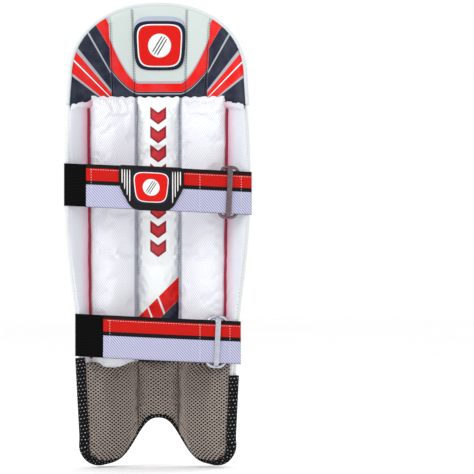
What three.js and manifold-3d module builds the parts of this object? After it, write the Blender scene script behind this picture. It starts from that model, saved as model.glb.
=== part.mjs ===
// Cricket leg pad, wicket keeper's style: a padded shin guard with a folding knee flap,
// stuffed bolsters behind it, and two webbing straps with slide buckles.
// Millimetres. +Z up the leg, +Y out through the playing face, +X to the right seen from the straps.
import * as THREE from 'three';
import { mergeVertices } from 'three/addons/utils/BufferGeometryUtils.js';
import Module from 'manifold-3d';

const wasm = await Module();
wasm.setup();

// ---- driving dimensions ----
const PAD_TOP = 667;
const KNEE_LINE = 529;
const SHIN_TOP = 493;
const SHIN_BOTTOM = 153;
const ARCH_HEIGHT = 66;
const EDGE_INSET = 8;
const WRAP_POWER = 2.3;
const SEAM_GAP = 1.2;
const BINDING_RADIUS = 3.2;
const BINDING_WIDTH = 7;
const HALF_WIDTHS = [[0, 109], [88, 113], [200, 119], [310, 131], [400, 136], [527, 131], [667, 120]];
const WRAP_DEPTHS = [[0, 46], [150, 64], [300, 78], [420, 80], [527, 58], [600, 40], [667, 26]];

// The knee fold turns about this line. The gap between the bodies is a wedge each way from it.
const KNEE_AXIS_Y = -12;
const FOLD_BACK = THREE.MathUtils.degToRad(15);
const FOLD_FORWARD = THREE.MathUtils.degToRad(8);
const KNEE_SEAM_DROP = 13;

// The frame's origin: where the shin bears on the middle bolster.
const LEG_POINT = new THREE.Vector3(0, -30, 333);

// Layers of the pad, as distances from its middle surface towards the playing face.
const BOARD = [-2.2, -0.4];
const ROLL_BACK = 0.5;
const ROLL_EDGE = 13;
const ROLL_CROWN = 26;
const COVER = 3.2;
const CORE_GAP = 0.4;
const WING_FOAM = [0.5, 6];
const WING_FACE = [6.8, 9.5];
const LINING = [-3.6, -1.6];
const BOLSTER_BASE = -3;
const FLAP_FOAM = [-4, 0.4];
const FLAP_LINING = [-7.4, -5.4];

// ---- materials ----
const material = (color, roughness, metalness = 0) =>
  new THREE.MeshStandardMaterial({ color, roughness, metalness });
const faceWhite = () => material(0xf4fefb, 0.42);
const wingWhite = () => material(0xe2e8e6, 0.45);
const liningWhite = () => material(0xeaedf2, 0.7);
const airtexWhite = () => material(0xebeffb, 0.85);
const foam = () => material(0xd9d5c8, 0.95);
const board = () => material(0xb9a98a, 0.8);
const meshGrey = () => material(0xbeafa5, 0.85);
const bindingBlack = () => material(0x101012, 0.8);
const bindingWhite = () => material(0xeef0f2, 0.6);
const printRed = () => material(0xd42a22, 0.5);
const pipingRed = () => material(0x9c1424, 0.6);
const elasticBlack = () => material(0x141416, 0.9);
const webbingGrey = () => material(0xbcbddc, 0.8);
const hookGrey = () => material(0x8b8d98, 0.95);
const badgeRubber = () => material(0x18181b, 0.55);
const steel = () => material(0xb0b8cc, 0.22, 1);

const group = new THREE.Group();
group.position.copy(LEG_POINT).negate();

function addMesh(name, geometry, look, parent = group) {
  const mesh = new THREE.Mesh(geometry, look);
  mesh.name = name;
  parent.add(mesh);
  return mesh;
}

// ---- the pad's curved middle surface ----
const mix = THREE.MathUtils.lerp;
const valueAt = (rule, ...where) => (typeof rule === 'function' ? rule(...where) : rule);

// A smooth curve through [height, value] stations.
function profile(stations) {
  const last = stations.length - 1;
  const slope = (i) => {
    const below = stations[Math.max(i - 1, 0)];
    const above = stations[Math.min(i + 1, last)];
    return (above[1] - below[1]) / (above[0] - below[0]);
  };
  return (z) => {
    const next = stations.findIndex(([height]) => height > z);
    const i = next < 0 ? last - 1 : Math.max(next - 1, 0);
    const span = stations[i + 1][0] - stations[i][0];
    const t = THREE.MathUtils.clamp((z - stations[i][0]) / span, 0, 1);
    const rise = t * t * (3 - 2 * t);
    const start = t * (1 - t) ** 2 * span * slope(i);
    const end = t * t * (t - 1) * span * slope(i + 1);
    return mix(stations[i][1], stations[i + 1][1], rise) + start + end;
  };
}

const outlineWidth = profile(HALF_WIDTHS);
const wrapDepth = profile(WRAP_DEPTHS);
const panelWidth = (z) => outlineWidth(z) - EDGE_INSET;

// The point at width x and height z, moved by offset along the surface's normal.
function shellPoint(x, z, offset) {
  const width = panelWidth(z);
  const depth = wrapDepth(z);
  const ratio = Math.abs(x) / width;
  const slope = (-depth * WRAP_POWER * Math.sign(x) * ratio ** (WRAP_POWER - 1)) / width;
  const length = Math.hypot(slope, 1);
  const y = -depth * ratio ** WRAP_POWER;
  return new THREE.Vector3(x - (offset * slope) / length, y + offset / length, z);
}

// Heights of the pad's rounded top, its two bottom lobes with the arch between, and the knee seam.
const SHOULDER = 555;
const TOP_POWER = 2.15;
function topEdge(x) {
  const ratio = Math.min(Math.abs(x) / panelWidth(SHOULDER), 1);
  const rise = (1 - ratio ** TOP_POWER) ** (1 / TOP_POWER);
  return mix(SHOULDER, PAD_TOP - BINDING_WIDTH, rise);
}
const LOBE_CENTRE = 80;
const LOBE_REACH = 32;
const LOBE_RISE = 34;
const ARCH_SPREAD = 39.7;
const ARCH_POWER = 2.4;
function lobeEdge(x) {
  const across = Math.abs(x);
  if (across < LOBE_CENTRE) return ARCH_HEIGHT * Math.exp(-((across / ARCH_SPREAD) ** ARCH_POWER));
  const ratio = Math.min((across - LOBE_CENTRE) / LOBE_REACH, 1);
  return LOBE_RISE * (1 - Math.sqrt(1 - ratio * ratio));
}
// The bottom outline moved up into the pad by a distance square to it.
function insideLobe(x, distance) {
  const step = 0.5;
  const slope = (lobeEdge(x + step) - lobeEdge(x - step)) / (2 * step);
  return lobeEdge(x) + distance * Math.min(Math.hypot(1, slope), 3);
}
const bottomEdge = (x) => insideLobe(x, BINDING_WIDTH + 1.5);
const kneeSeam = (x) => KNEE_LINE - KNEE_SEAM_DROP * (x / panelWidth(KNEE_LINE)) ** 2;

// Half the wedge gap of the knee fold at width x, for a piece that reaches to this offset.
function foldGap(x, offset) {
  const y = shellPoint(x, KNEE_LINE, offset).y;
  const forward = Math.tan(FOLD_FORWARD) * (y - KNEE_AXIS_Y);
  const back = Math.tan(FOLD_BACK) * (KNEE_AXIS_Y - y);
  return (SEAM_GAP + 1.05 * Math.max(forward, back)) / 2;
}
const belowKnee = (offset) => (x) => kneeSeam(x) - foldGap(x, offset);
const aboveKnee = (offset) => (x) => kneeSeam(x) + foldGap(x, offset);

// ---- solids ----
// A closed solid from a grid of back and front points; point(u, v, side) with side 0 at the back.
function gridSolid(point, across, along) {
  const positions = [];
  const indices = [];
  const row = across + 1;
  const layer = row * (along + 1);
  for (const side of [0, 1]) {
    for (let j = 0; j <= along; j += 1) {
      for (let i = 0; i <= across; i += 1) {
        positions.push(...point(i / across, j / along, side).toArray());
      }
    }
  }
  const at = (i, j, side) => side * layer + j * row + i;
  const quad = (a, b, c, d) => indices.push(a, b, c, a, c, d);
  for (let j = 0; j < along; j += 1) {
    for (let i = 0; i < across; i += 1) {
      quad(at(i, j, 0), at(i + 1, j, 0), at(i + 1, j + 1, 0), at(i, j + 1, 0));
      quad(at(i, j, 1), at(i, j + 1, 1), at(i + 1, j + 1, 1), at(i + 1, j, 1));
    }
    quad(at(0, j, 0), at(0, j + 1, 0), at(0, j + 1, 1), at(0, j, 1));
    quad(at(across, j, 1), at(across, j + 1, 1), at(across, j + 1, 0), at(across, j, 0));
  }
  for (let i = 0; i < across; i += 1) {
    quad(at(i, 0, 1), at(i + 1, 0, 1), at(i + 1, 0, 0), at(i, 0, 0));
    quad(at(i, along, 0), at(i + 1, along, 0), at(i + 1, along, 1), at(i, along, 1));
  }
  const geometry = new THREE.BufferGeometry();
  geometry.setAttribute('position', new THREE.Float32BufferAttribute(positions, 3));
  geometry.setIndex(indices);
  geometry.computeVertexNormals();
  return geometry;
}

// A slab of the shell between two seams (widths by height) and two edges (heights by width).
function panel({ left, right, low, high, back, front, across = 3, along = 6, gap = SEAM_GAP }) {
  const widthAt = (u, z) => mix(valueAt(left, z) + gap / 2, valueAt(right, z) - gap / 2, u);
  const heightOf = (edge, u) => {
    let z = KNEE_LINE;
    for (let pass = 0; pass < 4; pass += 1) z = valueAt(edge, widthAt(u, z));
    return z;
  };
  return gridSolid((u, v, side) => {
    const z = mix(heightOf(low, u), heightOf(high, u), v);
    const offset = valueAt(side ? front : back, u, v);
    return shellPoint(widthAt(u, z), z, offset);
  }, across, along);
}

// How full a puffed piece stands at (u, v): 0 at its edges and 1 over most of its middle.
const roundOver = (t, power) => 1 - Math.abs(2 * t - 1) ** power;
const puff = (edge, crown, power = 2.5, endPower = 12) => (u, v) =>
  mix(edge, crown, Math.sqrt(roundOver(u, power) * roundOver(v, endPower)));

// Boolean cuts and joins.
function toSolid(geometry) {
  const bare = geometry.clone();
  bare.deleteAttribute('normal');
  bare.deleteAttribute('uv');
  const merged = mergeVertices(bare, 1e-4);
  return new wasm.Manifold(new wasm.Mesh({
    numProp: 3,
    vertProperties: new Float32Array(merged.attributes.position.array),
    triVerts: new Uint32Array(merged.index.array),
  }));
}
function fromSolid(solid) {
  const { vertProperties, triVerts } = solid.getMesh();
  const geometry = new THREE.BufferGeometry();
  geometry.setAttribute('position', new THREE.Float32BufferAttribute(vertProperties, 3));
  geometry.setIndex(Array.from(triVerts));
  geometry.computeVertexNormals();
  return geometry;
}

// A round cord along a path, closed at both ends.
function tube(points, radius, sides, steps) {
  const section = new THREE.Shape();
  for (let i = 0; i < sides; i += 1) {
    const angle = (2 * Math.PI * i) / sides;
    section[i ? 'lineTo' : 'moveTo'](radius * Math.cos(angle), radius * Math.sin(angle));
  }
  section.closePath();
  return new THREE.ExtrudeGeometry(section, { steps, extrudePath: new THREE.CatmullRomCurve3(points) });
}

// ---- playing face: shin rolls, each a cover with its foam core, and the knee segments over them ----
// Widths of the seams between the rolls, at the bottom and the top of the shin.
const ROLL_SEAMS = [[-66, -54], [-30, -21], [6, 14], [41, 48], [77, 80]];
const rollSeam = (i) => (z) => {
  const t = THREE.MathUtils.clamp((z - SHIN_BOTTOM) / (SHIN_TOP - SHIN_BOTTOM), 0, 1);
  return mix(ROLL_SEAMS[i][0], ROLL_SEAMS[i][1], t);
};
const ROLL_NAMES = ['shin_roll_left', 'shin_roll_inner_left', 'shin_roll_inner_right', 'shin_roll_right'];
ROLL_NAMES.forEach((name, i) => {
  const outer = i === 0 || i === 3;
  const low = outer ? bottomEdge : SHIN_BOTTOM + 1;
  const seams = { left: rollSeam(i), right: rollSeam(i + 1), across: 4, along: outer ? 9 : 7 };
  const shell = panel({ ...seams, low, high: SHIN_TOP, back: ROLL_BACK, front: puff(ROLL_EDGE, ROLL_CROWN) });
  const hollow = (clear, back) => panel({
    ...seams,
    across: 3,
    gap: SEAM_GAP + 2 * (COVER + clear),
    low: (x) => valueAt(low, x) + COVER + clear,
    high: SHIN_TOP - COVER - clear,
    back,
    front: puff(ROLL_EDGE - COVER - clear, ROLL_CROWN - 1.7 * COVER - clear),
  });
  const cover = toSolid(shell).subtract(toSolid(hollow(0, -1)));
  addMesh(`${name}_cover`, fromSolid(cover), faceWhite());
  addMesh(`${name}_core`, hollow(CORE_GAP, ROLL_BACK + 0.3), foam());
});

for (let i = 0; i < ROLL_NAMES.length; i += 1) {
  addMesh(`knee_segment_${i + 1}`, panel({
    left: rollSeam(i),
    right: rollSeam(i + 1),
    low: SHIN_TOP + SEAM_GAP,
    high: belowKnee(22),
    back: ROLL_BACK,
    front: puff(12, 22, 3, 3),
    across: 4,
    along: 4,
  }), faceWhite());
}

// The panel between the inner rolls and the arch.
addMesh('instep_face', panel({
  left: rollSeam(1),
  right: rollSeam(3),
  low: bottomEdge,
  high: SHIN_BOTTOM,
  back: ROLL_BACK,
  front: puff(9, 17, 4, 6),
  across: 5,
  along: 4,
}), faceWhite());

// ---- wings: a moulded face over foam, and the lining on the leg side ----
for (const [side, seam] of [['left', 0], ['right', 4]]) {
  const inner = rollSeam(seam);
  const outer = side === 'left' ? (z) => -panelWidth(z) : panelWidth;
  const [left, right] = side === 'left' ? [outer, inner] : [inner, outer];
  const wing = { left, right, low: bottomEdge, high: belowKnee(-4), across: 4, along: 10 };
  addMesh(`wing_foam_${side}`, panel({ ...wing, back: WING_FOAM[0], front: WING_FOAM[1] }), foam());
  addMesh(`wing_face_${side}`, panel({ ...wing, back: WING_FACE[0], front: WING_FACE[1] }), wingWhite());
}
const LINING_SEAM = 109;
const LINING_TUCK = (z) => Math.min(LINING_SEAM, panelWidth(z) - 12);
for (const [side, sign] of [['left', -1], ['right', 1]]) {
  const inner = (z) => sign * LINING_TUCK(z);
  const outer = (z) => sign * panelWidth(z);
  const [left, right] = sign < 0 ? [outer, inner] : [inner, outer];
  addMesh(`wing_lining_${side}`, panel({
    left,
    right,
    low: bottomEdge,
    high: belowKnee(-4),
    back: LINING[0],
    front: LINING[1],
    across: 2,
    along: 10,
  }), liningWhite());
}

// A cane and fibre board stiffens the shin between the rolls and the bolsters.
addMesh('backing_board', panel({
  left: -85,
  right: 85,
  low: ARCH_HEIGHT + BINDING_WIDTH + 2,
  high: belowKnee(-4),
  back: BOARD[0],
  front: BOARD[1],
  across: 8,
  along: 8,
}), board());

// A plain label on the left wing's face, rising towards the pad's edge.
const LABEL_RISE = 0.52;
addMesh('wing_label', panel({
  left: -114,
  right: -70,
  low: (x) => 442 - LABEL_RISE * (x + 92),
  high: (x) => 454 - LABEL_RISE * (x + 92),
  back: WING_FACE[1] + 0.8,
  front: WING_FACE[1] + 2,
  across: 4,
  along: 1,
}), hookGrey());

// ---- leg side: three bolsters down the shin and three of open mesh on the instep ----
const BOLSTER_OUTER = (z) => Math.min(104.5, panelWidth(z) - 16);
const INSTEP_OUTER = (z) => panelWidth(z) - 2;
const BOLSTER_SEAM = 32;
const BOLSTERS = [
  ['left', (z) => -BOLSTER_OUTER(z), -BOLSTER_SEAM],
  ['centre', -BOLSTER_SEAM, BOLSTER_SEAM],
  ['right', BOLSTER_SEAM, BOLSTER_OUTER],
];
for (const [name, left, right] of BOLSTERS) {
  addMesh(`bolster_${name}`, panel({
    left,
    right,
    low: SHIN_BOTTOM - 5,
    high: belowKnee(-20),
    back: puff(-10, name === 'centre' ? -27 : -30, 3, 16),
    front: BOLSTER_BASE,
    across: 6,
    along: 8,
  }), name === 'centre' ? liningWhite() : airtexWhite());
  addMesh(`instep_bolster_${name}`, panel({
    left: name === 'left' ? (z) => -INSTEP_OUTER(z) : left,
    right: name === 'right' ? INSTEP_OUTER : right,
    low: bottomEdge,
    high: SHIN_BOTTOM - 5 - SEAM_GAP,
    back: puff(-8, -21, 3, 10),
    front: LINING[0] - CORE_GAP,
    across: 6,
    along: 4,
  }), meshGrey());
}

// Piping along the outer foot of the side bolsters.
const PIPING_RADIUS = 1.9;
for (const [side, sign] of [['left', -1], ['right', 1]]) {
  const points = [];
  const top = belowKnee(-20)(BOLSTER_OUTER(KNEE_LINE)) - 2;
  for (let i = 0; i <= 10; i += 1) {
    const z = mix(SHIN_BOTTOM + 2, top, i / 10);
    points.push(shellPoint(sign * (BOLSTER_OUTER(z) + 3.4), z, -7.4));
  }
  addMesh(`piping_${side}`, tube(points, PIPING_RADIUS, 6, 12), pipingRed());
}

// ---- bindings: a welt round the lobes and arch, and one round the flap ----
const bindingOut = EDGE_INSET - BINDING_RADIUS - 0.4;
const BINDING_DEPTH = 3.6;
function lowerBindingHalf(top) {
  const half = [];
  for (const t of [0, 0.3, 0.6, 0.9]) {
    const z = mix(top, 50, t);
    half.push(new THREE.Vector2(outlineWidth(z) - BINDING_DEPTH, z));
  }
  for (let i = 0; i < 5; i += 1) {
    const angle = (Math.PI / 2) * (1 - i / 5);
    const reach = LOBE_REACH - BINDING_DEPTH;
    const height = LOBE_RISE - (LOBE_RISE - BINDING_DEPTH) * Math.cos(angle);
    half.push(new THREE.Vector2(LOBE_CENTRE + reach * Math.sin(angle), height));
  }
  for (let x = LOBE_CENTRE; x > 5; x -= 6) half.push(new THREE.Vector2(x, insideLobe(x, BINDING_DEPTH)));
  return half;
}
const LEFT_BINDING_TOP = 152;
const RIGHT_BINDING_TOP = 128;
const leftHalf = lowerBindingHalf(LEFT_BINDING_TOP).map((p) => new THREE.Vector2(-p.x, p.y)).reverse();
const archTop = new THREE.Vector2(0, ARCH_HEIGHT + BINDING_DEPTH);
const lowerOutline = [...lowerBindingHalf(RIGHT_BINDING_TOP), archTop, ...leftHalf];
const lowerPath = lowerOutline.map((p) => shellPoint(p.x, p.y, 1.5));
addMesh('lower_binding', tube(lowerPath, BINDING_RADIUS, 6, 56), bindingBlack());

const flap = new THREE.Group();
group.add(flap);
const BINDING_DROP = 28;
const flapPath = [];
for (let i = -12; i <= 12; i += 1) {
  const side = Math.sign(i);
  const angle = (Math.PI / 2) * Math.min(Math.abs(i) / 8, 1);
  const down = Math.max(Math.abs(i) - 8, 0) / 4;
  const reach = panelWidth(SHOULDER) + bindingOut;
  const across = reach * Math.sin(angle) ** (2 / TOP_POWER);
  const rise = (1 - (across / reach) ** TOP_POWER) ** (1 / TOP_POWER);
  const z = mix(SHOULDER, PAD_TOP - BINDING_RADIUS, down ? 0 : rise) - BINDING_DROP * down;
  const x = down ? panelWidth(z) + bindingOut : across;
  flapPath.push(shellPoint(side * x, z, 0));
}
addMesh('flap_binding', tube(flapPath, BINDING_RADIUS, 6, 40), bindingWhite(), flap);

// ---- knee flap ----
const flapLeft = (z) => -panelWidth(z);
const lean = (bottom, top) => (z) => mix(bottom, top, (z - KNEE_LINE) / (PAD_TOP - KNEE_LINE));
const FACE_SEAMS = [
  flapLeft, lean(-56, -53), lean(-21, -18), lean(55, 65), lean(86, 96), panelWidth,
];
const FACE_NAMES = ['wing_left', 'roll_left', 'centre', 'roll_right', 'wing_right'];
const FACE_CROWNS = [9, 12.5, 13, 12.5, 9];
FACE_NAMES.forEach((name, i) => addMesh(`flap_face_${name}`, panel({
  left: FACE_SEAMS[i],
  right: FACE_SEAMS[i + 1],
  low: aboveKnee(13),
  high: topEdge,
  back: 1.2,
  front: puff(7, FACE_CROWNS[i], 3, 8),
  across: 4,
  along: 5,
}), i % 4 ? faceWhite() : wingWhite(), flap));

const LINING_SEAMS = [
  flapLeft, lean(-68, -71), lean(-35, -39), lean(40, 42), lean(69, 77), panelWidth,
];
const LINING_NAMES = ['wing_left', 'stripe_left', 'centre', 'stripe_right', 'wing_right'];
LINING_NAMES.forEach((name, i) => addMesh(`flap_lining_${name}`, panel({
  left: LINING_SEAMS[i],
  right: LINING_SEAMS[i + 1],
  low: aboveKnee(-7),
  high: topEdge,
  back: FLAP_LINING[0],
  front: FLAP_LINING[1],
  across: 4,
  along: 5,
}), liningWhite(), flap));

addMesh('flap_foam', panel({
  left: flapLeft,
  right: panelWidth,
  low: aboveKnee(-7),
  high: topEdge,
  back: FLAP_FOAM[0],
  front: FLAP_FOAM[1],
  across: 12,
  along: 5,
}), foam(), flap);

// Plain badges, one on each side of the flap.
addMesh('flap_face_badge', panel({
  left: -14,
  right: 57,
  low: 588,
  high: 641,
  back: 13.6,
  front: 15.4,
  across: 5,
  along: 2,
}), printRed(), flap);
addMesh('flap_lining_badge', panel({
  left: -36,
  right: 40,
  low: 569,
  high: 639,
  back: FLAP_LINING[0] - 2,
  front: FLAP_LINING[0] - 0.5,
  across: 5,
  along: 2,
}), printRed(), flap);

// ---- straps: elastic root, webbing and a slide buckle each ----
const STRAP_HEIGHT = 61;
const STRAP_THICKNESS = 2.2;
const STRAP_TILT = -0.047;
// Where the strap starts to run straight, as a share of the way from the middle to its tip.
const STRAIGHT_FROM = 0.43;
const BUCKLE = { width: 36, height: 76, wire: 4.6, bar: 8.4, plate: 3, clear: 0.5 };

// The strap seen from above: a shallow bow from the left wing's edge, then straight to the right wing.
function strapLine(height, bow) {
  const widest = height + STRAP_HEIGHT / 2;
  const corner = shellPoint(-panelWidth(widest), widest, 1);
  const pivot = new THREE.Vector2(corner.x - 2.5, corner.y - 4.5);
  const tip = new THREE.Vector2(3 - pivot.x, pivot.y - 1.5);
  const knot = STRAIGHT_FROM * tip.x;
  const straight = (tip.y - bow) / (tip.x - knot);
  const bend = (pivot.y - bow - straight * (pivot.x - knot)) / (pivot.x - knot) ** 2;
  const depth = (x) => bow + straight * (x - knot) + (x < knot ? bend * (x - knot) ** 2 : 0);
  const slope = (x) => straight + (x < knot ? 2 * bend * (x - knot) : 0);
  const centre = (x) => height + STRAP_TILT * x;
  const point = (x, up, offset) => {
    const length = Math.hypot(slope(x), 1);
    return new THREE.Vector3(x - (offset * slope(x)) / length, depth(x) + offset / length, centre(x) + up);
  };
  return { pivot, tip, straight, point };
}

// A length of strap from x0 to x1, with its lower and upper edges and its layer.
const strapPiece = (line, x0, x1, low, high, layer, steps) => gridSolid((u, v, side) => {
  const x = mix(x0, x1, u);
  return line.point(x, mix(valueAt(low, u), valueAt(high, u), v), layer[side]);
}, steps, 1);

// An oval ring behind the strap with a bar in front of it, joined past the strap's edges.
function buckleGeometry() {
  const { width, height, wire, bar, plate, clear } = BUCKLE;
  const ring = new THREE.Shape();
  ring.absellipse(0, 0, width / 2, height / 2, 0, 2 * Math.PI);
  const hole = new THREE.Path();
  hole.absellipse(0, 0, width / 2 - wire, height / 2 - wire, 0, 2 * Math.PI, true);
  ring.holes.push(hole);
  const behind = STRAP_THICKNESS / 2 + clear;
  const ringSolid = new THREE.ExtrudeGeometry(ring, { depth: plate, bevelEnabled: false, curveSegments: 18 });
  ringSolid.rotateX(Math.PI / 2);
  ringSolid.translate(0, behind + plate, 0);
  const barSolid = new THREE.BoxGeometry(bar, plate, height - 3);
  barSolid.translate(0, -behind - plate / 2, 0);
  let buckle = toSolid(ringSolid).add(toSolid(barSolid));
  for (const end of [-1, 1]) {
    const leg = new THREE.BoxGeometry(bar, 2 * (behind + plate) - 0.4, 3.4);
    leg.translate(0, 0, end * (height / 2 - 3.2));
    buckle = buckle.add(toSolid(leg));
  }
  return fromSolid(buckle);
}

function addStrap({ name, height, bow, elasticEnd, buckleAt }) {
  const line = strapLine(height, bow);
  const half = STRAP_HEIGHT / 2;
  const layer = [-STRAP_THICKNESS / 2, STRAP_THICKNESS / 2];
  const start = line.pivot.x + 1;
  const webbingEnd = line.tip.x;
  const elastic = strapPiece(line, start, elasticEnd, -half, half, layer, 4);
  addMesh(`${name}_elastic`, elastic, elasticBlack());
  const webbing = strapPiece(line, elasticEnd + 0.6, webbingEnd, -half, half, layer, 14);
  addMesh(`${name}_webbing`, webbing, webbingGrey());
  const middle = line.point(buckleAt, 0, 0);
  const buckle = addMesh(`${name}_buckle`, buckleGeometry(), steel());
  const direction = new THREE.Vector3(1, line.straight, STRAP_TILT).normalize();
  const across = new THREE.Vector3(-line.straight, 1, 0).normalize();
  const up = new THREE.Vector3().crossVectors(direction, across);
  buckle.setRotationFromMatrix(new THREE.Matrix4().makeBasis(direction, across, up));
  buckle.position.copy(middle);
  return line;
}

const upper = addStrap({ name: 'upper_strap', height: 396.5, bow: -97.5, elasticEnd: -101, buckleAt: 102 });
addStrap({ name: 'lower_strap', height: 183.5, bow: -86, elasticEnd: -77, buckleAt: 85 });

// A rubber badge sewn on the upper strap, wider at its top.
const BADGE = { middle: -8, halfTop: 46, halfFoot: 29, halfHeight: 31, thickness: 3 };
addMesh('upper_strap_badge', gridSolid((u, v, side) => {
  const x = BADGE.middle + (2 * u - 1) * mix(BADGE.halfFoot, BADGE.halfTop, v);
  const offset = -STRAP_THICKNESS / 2 - CORE_GAP - (side ? 0 : BADGE.thickness);
  return upper.point(x, (2 * v - 1) * BADGE.halfHeight, offset);
}, 8, 1), badgeRubber());

// Hook patches on the right wing's lining, where the straps' ends fasten.
for (const [name, height] of [['upper', 391], ['lower', 178]]) {
  addMesh(`${name}_hook_patch`, panel({
    left: (z) => panelWidth(z) - 15,
    right: (z) => panelWidth(z) - 1,
    low: height - 28,
    high: height + 28,
    back: LINING[0] - 1.7,
    front: LINING[0] - 0.4,
    across: 1,
    along: 2,
  }), hookGrey());
}

export default group;
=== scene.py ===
"""Looks of the cricket leg pad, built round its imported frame.

Lengths are millimetres in the pad's own layout (heights from the lobes' lowest point) until place()
or shell() turns them into metres in the part's frame.
"""
import math

import bpy
import numpy as np
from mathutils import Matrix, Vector, noise
from mathutils.bvhtree import BVHTree


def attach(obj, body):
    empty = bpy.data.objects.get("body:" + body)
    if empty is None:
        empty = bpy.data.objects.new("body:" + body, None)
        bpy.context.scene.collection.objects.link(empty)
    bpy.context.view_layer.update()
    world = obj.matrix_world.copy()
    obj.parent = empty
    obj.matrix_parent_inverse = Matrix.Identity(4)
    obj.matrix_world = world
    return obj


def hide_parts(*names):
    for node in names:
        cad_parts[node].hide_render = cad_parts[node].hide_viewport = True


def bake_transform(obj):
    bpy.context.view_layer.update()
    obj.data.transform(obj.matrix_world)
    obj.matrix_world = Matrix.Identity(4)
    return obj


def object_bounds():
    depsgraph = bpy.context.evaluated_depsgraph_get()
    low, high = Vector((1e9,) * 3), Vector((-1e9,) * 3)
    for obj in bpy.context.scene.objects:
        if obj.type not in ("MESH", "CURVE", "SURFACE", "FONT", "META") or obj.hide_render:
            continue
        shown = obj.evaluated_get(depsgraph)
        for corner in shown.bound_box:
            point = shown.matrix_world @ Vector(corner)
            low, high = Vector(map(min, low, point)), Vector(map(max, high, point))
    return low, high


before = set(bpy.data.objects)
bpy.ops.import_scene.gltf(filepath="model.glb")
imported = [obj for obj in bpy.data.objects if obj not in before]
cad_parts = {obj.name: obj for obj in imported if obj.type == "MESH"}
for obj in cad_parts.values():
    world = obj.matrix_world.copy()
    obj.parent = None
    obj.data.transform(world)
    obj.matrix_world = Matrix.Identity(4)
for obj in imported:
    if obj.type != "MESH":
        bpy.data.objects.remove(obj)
cad_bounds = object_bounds()

# ---- driving dimensions, as the frame has them ----
MM = 0.001
LEG_POINT = np.array([0.0, -30.0, 333.0])
PAD_TOP = 667
KNEE_LINE = 529
SHIN_TOP = 493
SHIN_BOTTOM = 153
ARCH_HEIGHT = 66
EDGE_INSET = 8
WRAP_POWER = 2.3
KNEE_SEAM_DROP = 13
HALF_WIDTHS = [[0, 109], [88, 113], [200, 119], [310, 131], [400, 136], [527, 131], [667, 120]]
WRAP_DEPTHS = [[0, 46], [150, 64], [300, 78], [420, 80], [527, 58], [600, 40], [667, 26]]
ROLL_SEAMS = [[-66, -54], [-30, -21], [6, 14], [41, 48], [77, 80]]
BOLSTER_SEAM = 32
SHOULDER = 555
TOP_POWER = 2.15
LOBE_CENTRE, LOBE_REACH, LOBE_RISE = 80, 32, 34
ARCH_SPREAD, ARCH_POWER = 39.7, 2.4
LABEL_RISE, LABEL_FOOT, LABEL_TOP = 0.52, 442, 454
HOOK_HALF = 28
STRAP_HEIGHT = 61
STRAP_TILT = -0.047
STRAP_THICKNESS = 2.2

# ---- dimensions of the looks alone ----
GAP = 0.15
LEFT_TAPE_TOP, RIGHT_TAPE_TOP = 156, 131
MESH_PITCH = (7.5, 4.9)
SEAM_SLANT = math.radians(-32)
COLUMN_FOOT, CHEVRON_PITCH, COLUMN_ROWS = 0.296, 0.0272, 8
FLAP_BEND = (-14.0, 22.0)
RIM_OVERHANG = 2.0
FLAP_OVERHANG = 3.2
STITCH_LIFT = 0.2
OUTSIDE = 60.0
FILL_PRESSURE, FILL_SLACK, FILL_LIMIT, FILL_FRAMES = 3.0, 0.03, 4.0, 18


# ---- the pad's curved middle surface ----
def profile(stations):
    """A smooth curve through [height, value] stations."""
    heights, values = np.array(stations, float).T
    last = len(heights) - 1
    order = np.arange(last + 1)
    below, above = np.maximum(order - 1, 0), np.minimum(order + 1, last)
    slopes = (values[above] - values[below]) / (heights[above] - heights[below])

    def curve(z):
        z = np.asarray(z, float)
        i = np.clip(np.searchsorted(heights, z, side="right") - 1, 0, last - 1)
        span = heights[i + 1] - heights[i]
        t = np.clip((z - heights[i]) / span, 0, 1)
        rise = t * t * (3 - 2 * t)
        bends = t * (1 - t) ** 2 * slopes[i] + t * t * (t - 1) * slopes[i + 1]
        return values[i] + (values[i + 1] - values[i]) * rise + span * bends

    return curve


outline_width = profile(HALF_WIDTHS)
wrap_depth = profile(WRAP_DEPTHS)


def panel_width(z):
    return outline_width(z) - EDGE_INSET


def place(x, y, z):
    """Layout millimetres to metres in the part's frame."""
    points = np.stack(np.broadcast_arrays(x, y, z), -1).astype(float)
    return (points - LEG_POINT) * MM


def shell(x, z, offset):
    """The point at width x and height z, moved by offset towards the playing face."""
    width = panel_width(z)
    depth = wrap_depth(z)
    ratio = np.abs(x) / width
    slope = -depth * WRAP_POWER * np.sign(x) * ratio ** (WRAP_POWER - 1) / width
    length = np.hypot(slope, 1)
    return place(x - offset * slope / length, offset / length - depth * ratio**WRAP_POWER, z)


def top_edge(x):
    ratio = np.minimum(np.abs(x) / panel_width(SHOULDER), 1)
    rise = (1 - ratio**TOP_POWER) ** (1 / TOP_POWER)
    return SHOULDER + (PAD_TOP - 7 - SHOULDER) * rise


def lobe_edge(x):
    across = np.abs(x)
    arch = ARCH_HEIGHT * np.exp(-((across / ARCH_SPREAD) ** ARCH_POWER))
    ratio = np.clip((across - LOBE_CENTRE) / LOBE_REACH, 0, 1)
    return np.where(across < LOBE_CENTRE, arch, LOBE_RISE * (1 - np.sqrt(1 - ratio * ratio)))


def inside_lobe(x, distance):
    step = 0.5
    slope = (lobe_edge(x + step) - lobe_edge(x - step)) / (2 * step)
    return lobe_edge(x) + distance * np.minimum(np.hypot(1, slope), 3)


def knee_seam(x):
    return KNEE_LINE - KNEE_SEAM_DROP * (x / panel_width(KNEE_LINE)) ** 2


def roll_seam(i):
    low, high = ROLL_SEAMS[i]

    def width(z):
        share = np.clip((z - SHIN_BOTTOM) / (SHIN_TOP - SHIN_BOTTOM), 0, 1)
        return low + (high - low) * share

    return width


bolster_outer = profile([[0, 92], [SHIN_BOTTOM, 97.5], [KNEE_LINE, 101]])


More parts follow.
